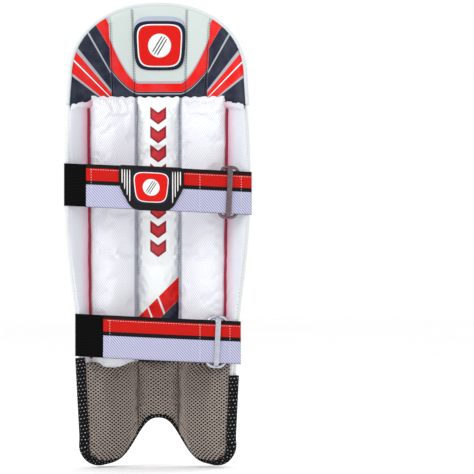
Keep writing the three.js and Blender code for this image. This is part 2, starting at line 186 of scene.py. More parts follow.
# ---- small helpers for shapes ----
def value(rule, where):
    return rule(where) if callable(rule) else rule


def mix(a, b, t):
    return a + (b - a) * t


def signed_power(base, power):
    return np.sign(base) * np.abs(base) ** power


def smooth(t):
    t = np.clip(t, 0, 1)
    return t * t * (3 - 2 * t)


def bulge(u, power, fullness=0.5):
    """0 at both edges of a puffed piece and 1 in its middle, round over the edges."""
    return np.clip(1 - np.abs(2 * u - 1) ** power, 0, 1) ** fullness


def round_end(distance, reach):
    """A quarter round that rises from 0 at an edge to 1 at reach."""
    t = np.clip(distance / reach, 0, 1)
    return np.sqrt(1 - (1 - t) ** 2)


def fade(distance, reach, least):
    """The same round rise, from least instead of 0."""
    return mix(least, 1, round_end(distance, reach))


def circle(count):
    """Evenly spaced angles once round, in radians."""
    return np.linspace(0, 2 * math.pi, count, endpoint=False)


def spread(count, ease):
    """Steps from 0 to 1, finer near both ends."""
    t = np.linspace(0, 1, count + 1)
    return t - ease * np.sin(2 * math.pi * t) / (2 * math.pi)


def ripple(points, scale, seed):
    """Smooth noise between about -1 and 1 at each point."""
    flat = points.reshape(-1, 3)
    wave = [noise.noise(Vector(p) * scale + Vector((seed, 0, 0))) for p in flat]
    return np.array(wave).reshape(points.shape[:-1])


def refine(points, times):
    """Points of a finer grid on the smooth surface through a coarse one."""
    for axis in (0, 1):
        rows = np.moveaxis(points, axis, 0)
        padded = np.concatenate([2 * rows[:1] - rows[1:2], rows, 2 * rows[-1:] - rows[-2:-1]])
        where = np.linspace(0, len(rows) - 1, (len(rows) - 1) * times + 1)
        start = np.minimum(where.astype(int), len(rows) - 2)
        t = (where - start).reshape(-1, *[1] * (rows.ndim - 1))
        a, b, c, d = (padded[start + k] for k in range(4))
        curve = b + (c - a) * t / 2 + (2 * a - 5 * b + 4 * c - d) * t**2 / 2
        curve = curve + (3 * b - a - 3 * c + d) * t**3 / 2
        points = np.moveaxis(curve, 0, axis)
    return points


def grid_normals(points, towards):
    """Unit normals of a grid of points, on the side that the vector towards points to."""
    normals = np.cross(np.gradient(points, axis=0), np.gradient(points, axis=1))
    normals /= np.maximum(np.linalg.norm(normals, axis=-1), 1e-12)[..., None]
    return normals * np.where((normals @ np.array(towards)) < 0, -1, 1)[..., None]


class Grid:
    """Widths x and heights z of a patch between two seams and two edges."""

    def __init__(self, left, right, low, high, across, along, ease=0.7, gap=GAP):
        self.u, self.v = np.meshgrid(spread(across, ease), spread(along, ease), indexing="ij")
        bottom = top = np.full_like(self.u, KNEE_LINE)

        def widths(z):
            return mix(value(left, z) + gap, value(right, z) - gap, self.u)

        for _ in range(5):
            bottom = np.broadcast_to(value(low, widths(bottom)), self.u.shape)
            top = np.broadcast_to(value(high, widths(top)), self.u.shape)
        self.z = mix(bottom, top, self.v)
        self.x = widths(self.z)
        self.from_low = self.z - bottom
        self.from_high = top - self.z

    def points(self, offset):
        return shell(self.x, self.z, offset)

    def from_rim(self, wide, tall):
        """About how far each point is from the nearest edge of a patch of this size."""
        return np.minimum(np.minimum(self.u, 1 - self.u) * wide, np.minimum(self.v, 1 - self.v) * tall)


def arc_length(path):
    """How far along a line of points each of them lies."""
    return np.concatenate([[0], np.cumsum(np.linalg.norm(np.diff(path, axis=0), axis=-1))])


def mesh_object(name, vertices, faces, look, **layers):
    """A smooth-shaded object; each layer gives its points a pair of coordinates for the shaders."""
    mesh = bpy.data.meshes.new(name)
    mesh.from_pydata(np.reshape(vertices, (-1, 3)).tolist(), [], faces)
    corners = np.empty(len(mesh.loops), dtype=np.int32)
    mesh.loops.foreach_get("vertex_index", corners)
    for layer, coordinates in layers.items():
        pairs = np.reshape(coordinates, (-1, 2))[corners].astype(np.float32)
        mesh.uv_layers.new(name=layer).data.foreach_set("uv", pairs.ravel())
    mesh.update()
    mesh.materials.append(look)
    mesh.polygons.foreach_set("use_smooth", [True] * len(mesh.polygons))
    obj = bpy.data.objects.new(name, mesh)
    bpy.context.scene.collection.objects.link(obj)
    return obj


def show(piece, slot, nodes=(), body="pad"):
    """Hides the frame's parts a piece stands for and hangs it on its body; without a body its placement
    is baked into its points. The slot is not used.
    """
    if nodes:
        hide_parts(*nodes)
    if body:
        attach(piece, body)
    else:
        foot, end = (shell(0.0, KNEE_LINE + rise, 0.0) for rise in FLAP_BEND)
        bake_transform(piece)
    return piece


def grid_faces(columns, rows, start=0, flip=False):
    i, j = np.meshgrid(np.arange(columns - 1), np.arange(rows - 1), indexing="ij")
    corner = (start + i * rows + j).ravel()
    quads = np.stack([corner, corner + rows, corner + rows + 1, corner + 1], -1)
    return quads[:, ::-1] if flip else quads


def closed_patch(name, back, front, look, prints=None):
    """A closed solid between two grids of points; prints are two grids of shader coordinates."""
    columns, rows = back.shape[:2]
    count = columns * rows
    vertices = np.stack([back, front])
    faces = grid_faces(columns, rows).tolist() + grid_faces(columns, rows, count, flip=True).tolist()
    rim = [(i, 0) for i in range(columns)]
    rim += [(columns - 1, j) for j in range(1, rows)]
    rim += [(i, rows - 1) for i in range(columns - 2, -1, -1)]
    rim += [(0, j) for j in range(rows - 2, 0, -1)]
    ring = [i * rows + j for i, j in rim]
    for a, b in zip(ring, ring[1:] + ring[:1]):
        faces.append([b, a, a + count, b + count])
    width = np.abs(front[-1, :, 0] - front[0, :, 0])
    arc = arc_length(back[:, rows // 2])[:, None] * width / width[rows // 2]
    lay = np.stack([arc - arc[-1] / 2, front[..., 2]], -1)
    shown = vertices[..., [0, 2]] if prints is None else [np.stack(prints, -1)] * 2
    return mesh_object(name, vertices, faces, look, lay=[lay, lay], print=shown)


def tube_faces(rings, sides, start=0):
    """Faces between rings of points that follow one another, and one over each end."""
    faces = []
    last = start + (rings - 1) * sides
    for first in range(start, last, sides):
        for j in range(sides):
            a, b = first + j, first + (j + 1) % sides
            faces.append([a, b, b + sides, a + sides])
    faces.append([start + j for j in range(sides)][::-1])
    faces.append([last + j for j in range(sides)])
    return faces


def tube(name, path, radii, look, sides, twist=None):
    """A round or oval cord along points in metres, with radii (in the pad's surface, across it)."""
    tangent = np.gradient(path, axis=0)
    tangent /= np.linalg.norm(tangent, axis=1)[:, None]
    normal = np.cross(tangent, [0.0, 1.0, 0.0])
    normal /= np.linalg.norm(normal, axis=1)[:, None]
    out = np.cross(normal, tangent)
    along = arc_length(path)
    angle = circle(sides)
    in_plane, across = (np.broadcast_to(r, len(path))[:, None] * MM for r in radii)
    swell = 1 if twist is None else twist(along[:, None], angle[None, :])
    ring = normal[:, None, :] * (in_plane * np.cos(angle) * swell)[..., None]
    ring = ring + out[:, None, :] * (across * np.sin(angle) * swell)[..., None]
    lay = np.stack(np.broadcast_arrays(along[:, None], angle[None, :]), -1)
    return mesh_object(name, path[:, None, :] + ring, tube_faces(len(path), sides), look, lay=lay)


def surface_tree(*objects):
    """A ray-cast tree of the pieces as they are now."""
    vertices, faces = [], []
    for obj in objects:
        start = len(vertices)
        vertices += [v.co.copy() for v in obj.data.vertices]
        faces += [[start + i for i in face.vertices] for face in obj.data.polygons]
    return BVHTree.FromPolygons(vertices, faces)


def drop_on(tree, x, z, side):
    """Where a line from outside, square to the pad at (x, z), meets the pieces: a point and a normal."""
    far = Vector(shell(x, z, side * OUTSIDE))
    near = Vector(shell(x, z, 0.0))
    way = (near - far).normalized()
    hit, normal, _, _ = tree.ray_cast(far, way, 1.5 * OUTSIDE * MM)
    if hit is None:
        return None
    if normal.dot(way) > 0:
        normal = -normal
    return np.array(hit + normal * STITCH_LIFT * MM), np.array(normal)


def stitches(name, runs, look, pitch, length, radius):
    """Thread dashes along runs of (points, normals), as one piece."""
    vertices, faces = [], []
    sides = 5
    stations = ((-0.5, 0.35), (-0.3, 1.0), (0.3, 1.0), (0.5, 0.35))
    for points, normals in runs:
        points = np.asarray(points)
        reach = arc_length(points)
        for at in np.arange(pitch / 2 * MM, reach[-1], pitch * MM):
            i = min(int(np.searchsorted(reach, at)), len(points) - 1)
            share = (at - reach[i - 1]) / max(reach[i] - reach[i - 1], 1e-9)
            middle = mix(points[i - 1], points[i], share)
            along = points[i] - points[i - 1]
            along = along / np.linalg.norm(along)
            up = normals[i - 1]
            across = np.cross(along, up)
            start = len(vertices)
            for where, full in stations:
                for k in range(sides):
                    angle = 2 * math.pi * k / sides
                    swing = across * math.cos(angle) + up * math.sin(angle)
                    vertices.append(middle + along * where * length * MM + swing * full * radius * MM)
            faces += tube_faces(len(stations), sides, start)
    return mesh_object(name, vertices, faces, look)


def seam_run(tree, widths, heights, side):
    """Points and normals of a line of stitching laid on the pieces."""
    hits = [drop_on(tree, float(x), float(z), side) for x, z in zip(widths, heights)]
    hits = [hit for hit in hits if hit is not None]
    return [hit[0] for hit in hits], [hit[1] for hit in hits]


def inflate(obj, pinned):
    """Fills a closed piece by cloth simulation; pinned marks the points that are sewn down."""
    rest = np.array([v.co for v in obj.data.vertices])
    group = obj.vertex_groups.new(name="sewn")
    group.add([int(i) for i in np.flatnonzero(pinned)], 1.0, "REPLACE")
    modifier = obj.modifiers.new("fill", "CLOTH")
    settings = modifier.settings
    settings.quality = 6
    settings.mass = 0.25
    settings.tension_stiffness = settings.compression_stiffness = 12
    settings.shear_stiffness = 4
    settings.bending_stiffness = 0.6
    settings.use_pressure = True
    settings.uniform_pressure_force = FILL_PRESSURE
    settings.shrink_min = -FILL_SLACK
    settings.vertex_group_mass = "sewn"
    settings.effector_weights.gravity = 0
    modifier.collision_settings.use_collision = False
    modifier.point_cache.frame_start = 1
    modifier.point_cache.frame_end = FILL_FRAMES
    for number in range(1, FILL_FRAMES + 1):
        bpy.context.scene.frame_set(number)
    evaluated = obj.evaluated_get(bpy.context.evaluated_depsgraph_get())
    moved = np.array([v.co for v in evaluated.data.vertices])
    obj.modifiers.remove(modifier)
    bpy.context.scene.frame_set(1)
    shift = moved - rest
    length = np.linalg.norm(shift, axis=1)[:, None]
    shift *= np.minimum(1, FILL_LIMIT * MM / np.maximum(length, 1e-9))
    obj.data.vertices.foreach_set("co", (rest + shift).ravel())
    obj.data.update()


# ---- materials ----
def srgb(code):
    parts = [((code >> shift) & 255) / 255 for shift in (16, 8, 0)]
    linear = [c / 12.92 if c <= 0.04045 else ((c + 0.055) / 1.055) ** 2.4 for c in parts]
    return (*linear, 1.0)


WHITE_FACE = srgb(0xE0E7E5)
WHITE_WING = srgb(0xD8DEDC)
WHITE_LINING = srgb(0xE6E8EE)
PRINT_GROUND = srgb(0xF8FCFC)
FLAP_GROUND = srgb(0xCBD5D2)
RED = srgb(0xE4120A)
DARK_RED = srgb(0x8E0F18)
NAVY = srgb(0x1C2034)
SILVER = srgb(0xA9B0B8)
PURE_WHITE = srgb(0xFAFBFC)
PRINT_EDGE = 0.0004
EYELET_PITCH = 0.0036
TWILL_PITCH = 0.0038
WHIP_PITCH = 0.0052


class Signal:
    """The output of a shader node, which adds and multiplies like a number."""

    def __init__(self, paint, socket):
        self.paint = paint
        self.socket = socket

    def __add__(self, other):
        return self.paint.math("ADD", self, other)

    def __sub__(self, other):
        return self.paint.math("SUBTRACT", self, other)

    def __rsub__(self, other):
        return self.paint.math("SUBTRACT", other, self)

    def __mul__(self, other):
        return self.paint.math("MULTIPLY", self, other)

    def __truediv__(self, other):
        return self.paint.math("DIVIDE", self, other)

    def __pow__(self, other):
        return self.paint.math("POWER", self, other)

    def __abs__(self):
        return self.paint.math("ABSOLUTE", self)

    def fract(self):
        return self.paint.math("FRACT", self)


class Paint:
    """A material, with its nodes added one call at a time."""

    def __init__(self, name, roughness=0.5, specular=0.4, metallic=0.0):
        self.material = bpy.data.materials.new(name)
        self.material.use_nodes = True
        self.tree = self.material.node_tree
        self.shader = self.tree.nodes["Principled BSDF"]
        self.shader.inputs["Roughness"].default_value = roughness
        self.shader.inputs["Specular IOR Level"].default_value = specular
        self.shader.inputs["Metallic"].default_value = metallic

    def put(self, socket, given):
        if isinstance(given, Signal):
            self.tree.links.new(given.socket, socket)
        else:
            socket.default_value = given

    def node(self, kind, inputs, output=0, **settings):
        """Adds a node, feeds its inputs by number or name, and gives back one output."""
        node = self.tree.nodes.new(f"ShaderNode{kind}")
        for key, setting in settings.items():
            setattr(node, key, setting)
        for key, given in inputs.items():
            self.put(node.inputs[key], given)
        return Signal(self, node.outputs[output])

    def math(self, operation, *inputs):
        return self.node("Math", dict(enumerate(inputs)), operation=operation)

    def wave(self, given, pitch):
        return self.math("SINE", given * (2 * math.pi / pitch))

    def uv(self, name):
        place_on_map = self.node("UVMap", {}, uv_map=name)
        return [self.node("SeparateXYZ", {0: place_on_map}, axis) for axis in (0, 1)]

    def ramp(self, given, low, high):
        """0 below low and 1 above high, smooth between."""
        return self.node("MapRange", {0: given, 1: low, 2: high}, interpolation_type="SMOOTHSTEP")

    def band(self, given, low, high, soft=PRINT_EDGE):
        return self.ramp(given, low - soft, low + soft) - self.ramp(given, high - soft, high + soft)

    def below(self, given, limit):
        return 1 - self.ramp(given - limit, -PRINT_EDGE, PRINT_EDGE)

    def mix(self, factor, a, b):
        return self.node("Mix", {0: factor, 6: a, 7: b}, 2, data_type="RGBA")

    def shade(self, factor, code, other_code):
        return self.mix(factor, srgb(code), srgb(other_code))

    def noise(self, scale, detail=3.0, roughness=0.55):
        where = self.node("TexCoord", {}, "Object")
        inputs = {"Vector": where, "Scale": scale, "Detail": detail, "Roughness": roughness}
        return self.node("TexNoise", inputs)

    def cells(self, scale):
        where = self.node("TexCoord", {}, "Object")
        return self.node("TexVoronoi", {"Vector": where, "Scale": scale}, "Distance")

    def bump(self, height, depth, strength=1.0):
        inputs = {"Height": height, "Distance": depth, "Strength": strength}
        self.put(self.shader.inputs["Normal"], self.node("Bump", inputs))

    def roughness(self, given, low, high):
        self.put(self.shader.inputs["Roughness"], self.node("MapRange", {0: given, 3: low, 4: high}))

    def colour(self, given):
        self.put(self.shader.inputs["Base Color"], given)
        return self.material


def dimmed(colour, by):
    return (*[c * by for c in colour[:3]], 1.0)


def leather(name, colour, print_on=None, roughness=0.42, specular=0.3):
    """Coated leather: fine grain, faint creases, a little colour change and uneven gloss."""
    paint = Paint(name, roughness, specular)
    creases = paint.noise(45, 4)
    base = print_on(paint) if print_on else colour
    toned = paint.mix(paint.ramp(creases, 0.3, 0.75), base, paint.mix(0.07, base, SILVER))
    paint.bump(paint.cells(1500) * 0.6 + creases * 0.8, 0.00025, 0.55)
    paint.roughness(paint.noise(120, 3), roughness - 0.08, roughness + 0.14)
    return paint.colour(toned)


def airtex(name, colour, tint):
    """A fine warp-knit lining: staggered eyelets on a diagonal, soft and matt."""
    paint = Paint(name, 0.85, 0.2)
    u, v = paint.uv("lay")
    lean = v * 0.75
    weave = paint.wave(u - lean, EYELET_PITCH) * 0.7 + paint.wave(u + lean, EYELET_PITCH) * 0.3
    pits = paint.ramp(weave, -0.1, 0.9)
    base = tint(paint, colour)
    clouds = paint.ramp(paint.noise(30, 3), 0.35, 0.8)
    cloudy = paint.mix(clouds, base, paint.mix(0.08, base, srgb(0xB9C2E0)))
    paint.bump(paint.noise(900, 2) * 0.3 - pits, 0.0006, 0.8)
    return paint.colour(paint.mix(pits * 0.34, cloudy, srgb(0x949CB8)))


def painted_seam_shade(paint, colour):
    """Painted shade: a blue-grey band along the seams between the bolsters, darkest on the seam line."""
    across, _ = paint.uv("print")
    from_seam = abs(abs(across) - BOLSTER_SEAM * MM)
    return paint.mix(paint.ramp(from_seam, 0.0006, 0.0032), srgb(0xA6AAB8), colour)


def lining_tint(paint, colour):
    """Red dye from the piping has spread into the lining beside it."""
    reach, height = paint.uv("print")
    low, high = ((level - LEG_POINT[2]) * MM for level in (150, 175))
    stain = (1 - paint.ramp(reach, 0.001, 0.017)) * paint.ramp(height, low, high)
    return paint.mix(stain * (paint.noise(9, 2) + 0.05), colour, srgb(0xE2708F))


def flap_print(paint):
    """Generic colour blocking: fans of stripes on the wings and a ribbon swept across the middle."""
    x, z = paint.uv("print")
    z = z + LEG_POINT[2] * MM
    across = abs(x - 0.0015)
    focus_x, focus_z = 0.023, 0.482
    angle = paint.math("ARCTAN2", z - focus_z, across - focus_x) * (180 / math.pi)
    seam = (z - KNEE_LINE * MM) * 0.04 + 0.0685
    wing = paint.ramp(across - seam, -0.0003, 0.0003)
    widening = (across - 0.070) * paint.ramp(angle, 61, 66)
    angle = angle + widening * 100.0
    fan = (
        (2, 37, NAVY), (37, 38.4, SILVER), (38.4, 44.6, RED), (44.6, 45.4, PURE_WHITE),
        (45.4, 49.4, RED), (49.4, 51.4, SILVER), (51.4, 60, NAVY), (60, 60.9, SILVER),
        (60.9, 67.8, NAVY), (67.8, 72.2, RED), (72.2, 73.2, SILVER),
    )
    shown = FLAP_GROUND
    for low, high, tone in fan:
        shown = paint.mix(paint.band(angle, low, high, 0.12) * wing, shown, tone)
    sweep = (paint.math("MAXIMUM", across - 0.03, 0.0) / 0.038) ** 1.6
    above = z - (sweep * 0.055 + 0.5495)
    over_foot = z - (sweep * 0.031 + 0.5375)
    ribbon = (
        (paint.band(above, 0.0, 0.0034), SILVER),
        (paint.ramp(over_foot, -PRINT_EDGE, PRINT_EDGE) * paint.below(above, 0.0), RED),
        (paint.below(over_foot, 0.0), NAVY),
        (paint.band(over_foot, -0.0036, -0.0022), SILVER),
    )
    for mask, tone in ribbon:
        shown = paint.mix((1 - wing) * mask, shown, tone)
    return shown


def column_print(paint):
    """A column of chevrons up the middle bolster, over crossing diagonal bands."""
    x, z = paint.uv("print")
    z = z + LEG_POINT[2] * MM
    lift = z - x
    shown = paint.mix(1 - paint.ramp(lift, 0.2085, 0.2095), PRINT_GROUND, NAVY)
    slant = x + (z - 0.2) / 2.6
    stripes = paint.band(slant, -0.0055, -0.003) + paint.band(slant, 0.0145, 0.0175)
    shown = paint.mix(paint.band(lift, 0.209, 0.242), shown, paint.mix(stripes, RED, PURE_WHITE))
    climb = (z - (abs(x) * 0.75 + COLUMN_FOOT)) / CHEVRON_PITCH
    row = climb.fract()
    column = paint.band(x, -0.0115, 0.0115, 0.0003) * paint.band(climb, 0.0, COLUMN_ROWS, 0.02)
    rim = paint.band(row, 0.24, 0.64, 0.012) * paint.band(x, -0.0088, 0.0088, 0.0003)
    chevron = paint.mix(rim, DARK_RED, srgb(0xC62A33))
    shown = paint.mix(column * paint.band(row, 0.12, 0.76, 0.012), shown, chevron)
    # Painted shade along the bolster seams, laid over the print.
    return painted_seam_shade(paint, shown)


def open_mesh():
    """Spacer mesh: beige threads round staggered dark diamonds."""
    paint = Paint("open_mesh", 0.8, 0.15)
    across, up = (given / (pitch * MM) for given, pitch in zip(paint.uv("lay"), MESH_PITCH))
    one, two = (paint.math("PINGPONG", way, 0.5) for way in (across + up, across - up))
    thread = 1 - paint.ramp(paint.math("MINIMUM", one, two), 0.15, 0.23)
    fibres = paint.noise(1400, 2)
    tone = paint.shade(fibres, 0x857870, 0xC2B6AD)
    paint.bump(thread + fibres * 0.3, 0.0006, 0.8)
    return paint.colour(paint.mix(thread, srgb(0x0F0D0B), tone))


def webbing():
    """Woven strap: black edges, a red band and a pale twill band; u runs along it, v up it."""
    paint = Paint("strap_webbing", 0.7, 0.12)
    u, v = paint.uv("print")
    rib = paint.wave(v, 0.0014)
    twill = paint.band(((u + v * 0.9) / TWILL_PITCH).fract(), 0.36, 0.96, 0.12)
    grey = paint.shade(twill, 0x8789AA, 0xCBCBE4)
    red = paint.shade(paint.ramp(rib, -1, 1), 0xB4120D, 0xD41B14)
    black = paint.shade(paint.ramp(rib, -1, 1), 0x060607, 0x1B1B1E)
    shown = paint.mix(paint.band(v, 0.0005, 0.032), black, grey)
    paint.bump(rib * 0.35 + twill * 0.8, 0.0004, 0.6)
    return paint.colour(paint.mix(paint.band(v, 0.0378, 0.0552), shown, red))


def elastic():
    paint = Paint("elastic_black", 0.85, 0.05)
    u, v = paint.uv("print")
    height = paint.wave(v, 0.0021) + paint.wave(u, 0.0012) * 0.4
    paint.bump(height, 0.0004, 0.7)
    return paint.colour(paint.shade(paint.ramp(height, -1, 1.2), 0x030303, 0x131315))


def thread_look(name, colour):
    paint = Paint(name, 0.7, 0.1)
    paint.bump(paint.noise(3000, 1), 0.0001)
    return paint.colour(paint.mix(paint.noise(600, 2), colour, dimmed(colour, 0.75)))


def binding_look():
    """Black edge tape, whipped with a white thread."""
    paint = Paint("binding_black", 0.8, 0.1)
    along, angle = paint.uv("lay")
    turn = angle / (2 * math.pi)
    phase = (along / WHIP_PITCH + turn).fract()
    broken = paint.band((turn * 9 + along / (2 * WHIP_PITCH)).fract(), 0.25, 0.55, 0.06)
    worn = paint.ramp(paint.noise(260, 2), 0.3, 0.62)
    dash = paint.band(phase, 0.3, 0.5, 0.03) * broken * worn
    paint.bump(paint.wave(phase, 0.5) + dash, 0.0005, 0.6)
    return paint.colour(paint.shade(dash, 0x101013, 0xD6D6D8))


def steel(name, dark, bright):
    paint = Paint(name, 0.2, metallic=1.0)
    brushed = paint.noise(260, 4, roughness=0.7)
    paint.roughness(brushed, 0.12, 0.3)
    paint.bump(paint.noise(900, 2), 0.00005)
    return paint.colour(paint.mix(brushed, dark, bright))


def rubber():
    paint = Paint("badge_rubber", 0.5, 0.15)
    speckle = paint.noise(1500, 2)
    paint.bump(speckle, 0.0001)
    paint.roughness(paint.noise(150, 2), 0.42, 0.6)
    return paint.colour(paint.shade(speckle, 0x0B0B0D, 0x19191C))


def enamel(name, colour):
    paint = Paint(name, 0.35, 0.12)
    mottled = paint.noise(200, 3)
    paint.roughness(mottled, 0.28, 0.42)
    paint.bump(paint.noise(800, 2), 0.00004)
    return paint.colour(paint.mix(mottled * 0.12, colour, dimmed(colour, 0.5)))


def board_look():
    paint = Paint("stiffening_board", 0.85)
    fibre = paint.noise(160, 5)
    paint.bump(fibre, 0.0003)
    return paint.colour(paint.shade(fibre, 0x8C7650, 0xC9B48A))


def hook_look():
    paint = Paint("hook_tape", 0.95)
    hooks = paint.cells(650)
    paint.bump(hooks, 0.0008)
    return paint.colour(paint.shade(paint.ramp(hooks, 0.2, 0.7), 0x5B5D68, 0xA6A8B4))


def label_print(paint):
    """A pale label with a grey outline, a dark bar along its foot and a dark ribbed block at one end."""
    x, level = paint.uv("print")
    ribs = paint.band((level * 700).fract(), 0.2, 0.65, 0.1)
    grey = paint.shade(ribs, 0x4A4C52, 0x8C8F96)
    shown = paint.shade(paint.band(level, 0.0040, 0.0048, 0.0002), 0xE4E8E8, 0x9EA2A8)
    foot = paint.band(level, -0.0048, -0.0024, 0.0002)
    block = paint.below(x + level * 0.8, -0.099) * paint.band(level, -0.0048, 0.0032, 0.0002)
    return paint.mix(paint.math("MAXIMUM", foot, block), shown, grey)


white_thread = thread_look("white_thread", srgb(0xF3F4F6))
face_thread = thread_look("face_thread", srgb(0xAEB2B6))
dark_thread = thread_look("dark_thread", srgb(0x6E717E))
piping_red = thread_look("piping_red", srgb(0xA03048))
face_leather = leather("face_leather", WHITE_FACE)
wing_leather = leather("wing_leather", WHITE_WING)
print_leather = leather("print_leather", PRINT_GROUND, flap_print, 0.36, 0.12)
column_leather = leather("column_leather", PRINT_GROUND, column_print, 0.4, 0.15)
label_leather = leather("label_leather", SILVER, label_print)
binding_white = leather("binding_white", srgb(0xD3DADB))
# The white bolster lining gets painted shade along its seams.
airtex_white = airtex("airtex_white", srgb(0xF8FAFF), painted_seam_shade)
airtex_lining = airtex("airtex_lining", WHITE_LINING, lining_tint)
mesh_fabric = open_mesh()
elastic_black = elastic()
binding_black = binding_look()
steel_bright = steel("steel_bright", srgb(0x9EA3B0), srgb(0xD0D4DE))
# A darker, maroon-tinted copy of the same steel: its colour is a painted reflection of the red and black
# strap.
steel_painted_reflection = steel("steel_painted_reflection", srgb(0x5A4A50), srgb(0x84747A))
strap_webbing = webbing()
badge_rubber = rubber()
badge_red = enamel("badge_red", srgb(0xD8150F))
badge_white = enamel("badge_white", srgb(0xF4F4F2))
badge_navy = enamel("badge_navy", NAVY)
badge_shade = enamel("badge_shade", srgb(0xAEB9CC))
hook_tape = hook_look()


# ---- playing face ----
def groove(x, z, line, width, depth):
    """How deep a moulded channel along a line of (x, z) points cuts at each point."""
    nearest = np.full(np.shape(x), 1e9)
    for (ax, az), (bx, bz) in zip(line, line[1:]):
        along = np.array([bx - ax, bz - az], float)
        share = np.clip(((x - ax) * along[0] + (z - az) * along[1]) / (along @ along), 0, 1)
        nearest = np.minimum(nearest, np.hypot(x - ax - share * along[0], z - az - share * along[1]))
    return depth * (1 - smooth(nearest / width))


def pucker(grid, edge_distance, amount, seed):
    """Fine gathers along a seam, which fade out away from it."""
    wave = np.sin(grid.z * 0.75 + 2.2 * np.sin(grid.z * 0.11 + seed))
    return amount * wave * np.exp(-edge_distance / 4.0)


def puffed_front(name, nodes, left, right, low, high, crown, valley, size, **shape):
    """A stuffed roll of the playing face, standing on the pad's middle surface."""
    grid = Grid(left, right, low, high, *size)
    ends = round_end(grid.from_low, shape["low_end"]) * round_end(grid.from_high, shape["high_end"])
    width = value(right, grid.z) - value(left, grid.z)
    edge = np.minimum(grid.u, 1 - grid.u) * width
    wave = ripple(grid.points(0.0), 28, shape["seed"])
    full = bulge(grid.u, shape.get("power", 3.0), 0.68) * ends
    front = mix(valley, crown, full) + 0.7 * wave * full
    front = front + pucker(grid, edge, 0.45, shape["seed"])
    front = front - shape["marks"](grid.x, grid.z) if "marks" in shape else front
    piece = closed_patch(name, grid.points(0.6), grid.points(front), face_leather)
    return show(piece, "face_leather", nodes)


def below_seam(x):
    return knee_seam(x) - 0.4


def lobe_rim(x):
    return inside_lobe(x, 7.5)


def wing_rim(z, tape_top):
    """The outer edge of a wing, which steps in where the edge tape is."""
    return panel_width(z) + RIM_OVERHANG - 5.0 * (1 - smooth((z - tape_top + 10) / 10))


ROLLS = ["shin_roll_left", "shin_roll_inner_left", "shin_roll_inner_right", "shin_roll_right"]
front_pieces = []
for index, roll in enumerate(ROLLS):
    outer = index in (0, 3)
    front_pieces.append(puffed_front(
        roll, [f"{roll}_cover", f"{roll}_core"], roll_seam(index), roll_seam(index + 1),
        lobe_rim if outer else SHIN_BOTTOM + 0.1, SHIN_TOP - 0.1, 25, 8, (26, 150 if outer else 110),
        low_end=55 if outer else 16, high_end=14, seed=index + 1.5,
    ))

for index in range(4):
    front_pieces.append(puffed_front(
        f"knee_puff_{index + 1}", [f"knee_segment_{index + 1}"], roll_seam(index), roll_seam(index + 1),
        SHIN_TOP + 0.1, below_seam, 21, 7, (26, 22), low_end=15, high_end=15, seed=index + 7.5, fill=0.9,
    ))


def instep_ribs(x, z):
    ribs = [[(-24, 128 - 14 * i), (6, 136 - 14 * i), (34, 126 - 14 * i)] for i in range(3)]
    return sum(groove(x, z, rib, 5.0, 3.4) for rib in ribs)


front_pieces.append(puffed_front(
    "instep_panel", ["instep_face"], roll_seam(1), roll_seam(3), lobe_rim, SHIN_BOTTOM - 0.1, 15, 6,
    (56, 60), power=4, low_end=22, high_end=14, seed=12.5, marks=instep_ribs,
))


def moulded(lines):
    """Crisp channels in broader soft hollows."""
    return lambda x, z: sum(groove(x, z, line, 2.8, 2.4) + groove(x, z, line, 8.0, 1.8) for line in lines)


LEFT_WING_MARKS = [
    [(-127, 425), (-92, 402), (-70, 382), (-92, 356), (-122, 337)],
    [(-60, 412), (-90, 430), (-126, 451)],
    [(-60, 352), (-88, 330), (-124, 312)],
]
RIGHT_WING_MARKS = [[(120, 398), (91, 375), (120, 342)], [(86, 430), (120, 452)], [(84, 338), (118, 316)]]
LEFT_FLAP_MARKS = [
    [(-66, 636), (-67, 603), (-73, 596), (-94, 609)],
    [(-62, 548), (-75, 565), (-88, 579), (-102, 593)],
    [(-109, 580), (-98, 568), (-91, 560), (-90, 553), (-93, 546)],
]
RIGHT_FLAP_MARKS = [[(116, 601), (102, 577), (115, 567)], [(112, 554), (90, 533)]]


def wing_piece(side, sign):
    inner = roll_seam(0 if sign < 0 else 4)
    tape_top = LEFT_TAPE_TOP if sign < 0 else RIGHT_TAPE_TOP

    def rim_line(z):
        return sign * wing_rim(z, tape_top)

    seams = (rim_line, inner) if sign < 0 else (inner, rim_line)
    grid = Grid(*seams, lobe_rim, below_seam, 56, 240)
    rim = np.maximum(wing_rim(grid.z, tape_top) - np.abs(grid.x), 0)
    seam = np.abs(value(inner, grid.z) - grid.x)
    marks = moulded(LEFT_WING_MARKS if sign < 0 else RIGHT_WING_MARKS)
    cut = marks(grid.x, grid.z) * smooth((rim - 3) / 12)
    wave = ripple(grid.points(0.0), 22, 20 + sign)
    body = round_end(rim, 9) * fade(seam, 9, 0.45)
    body = body * fade(grid.from_low, 16, 0.35) * fade(grid.from_high, 10, 0.5)
    front = 0.4 + 9.2 * body + (0.7 * wave - cut) * body + pucker(grid, seam, 0.4, 3 + sign)
    piece = closed_patch(f"wing_{side}", grid.points(-1.0), grid.points(front), wing_leather)
    return show(piece, "wing_leather", [f"wing_face_{side}", f"wing_foam_{side}"])


front_pieces.append(wing_piece("left", -1))
front_pieces.append(wing_piece("right", 1))


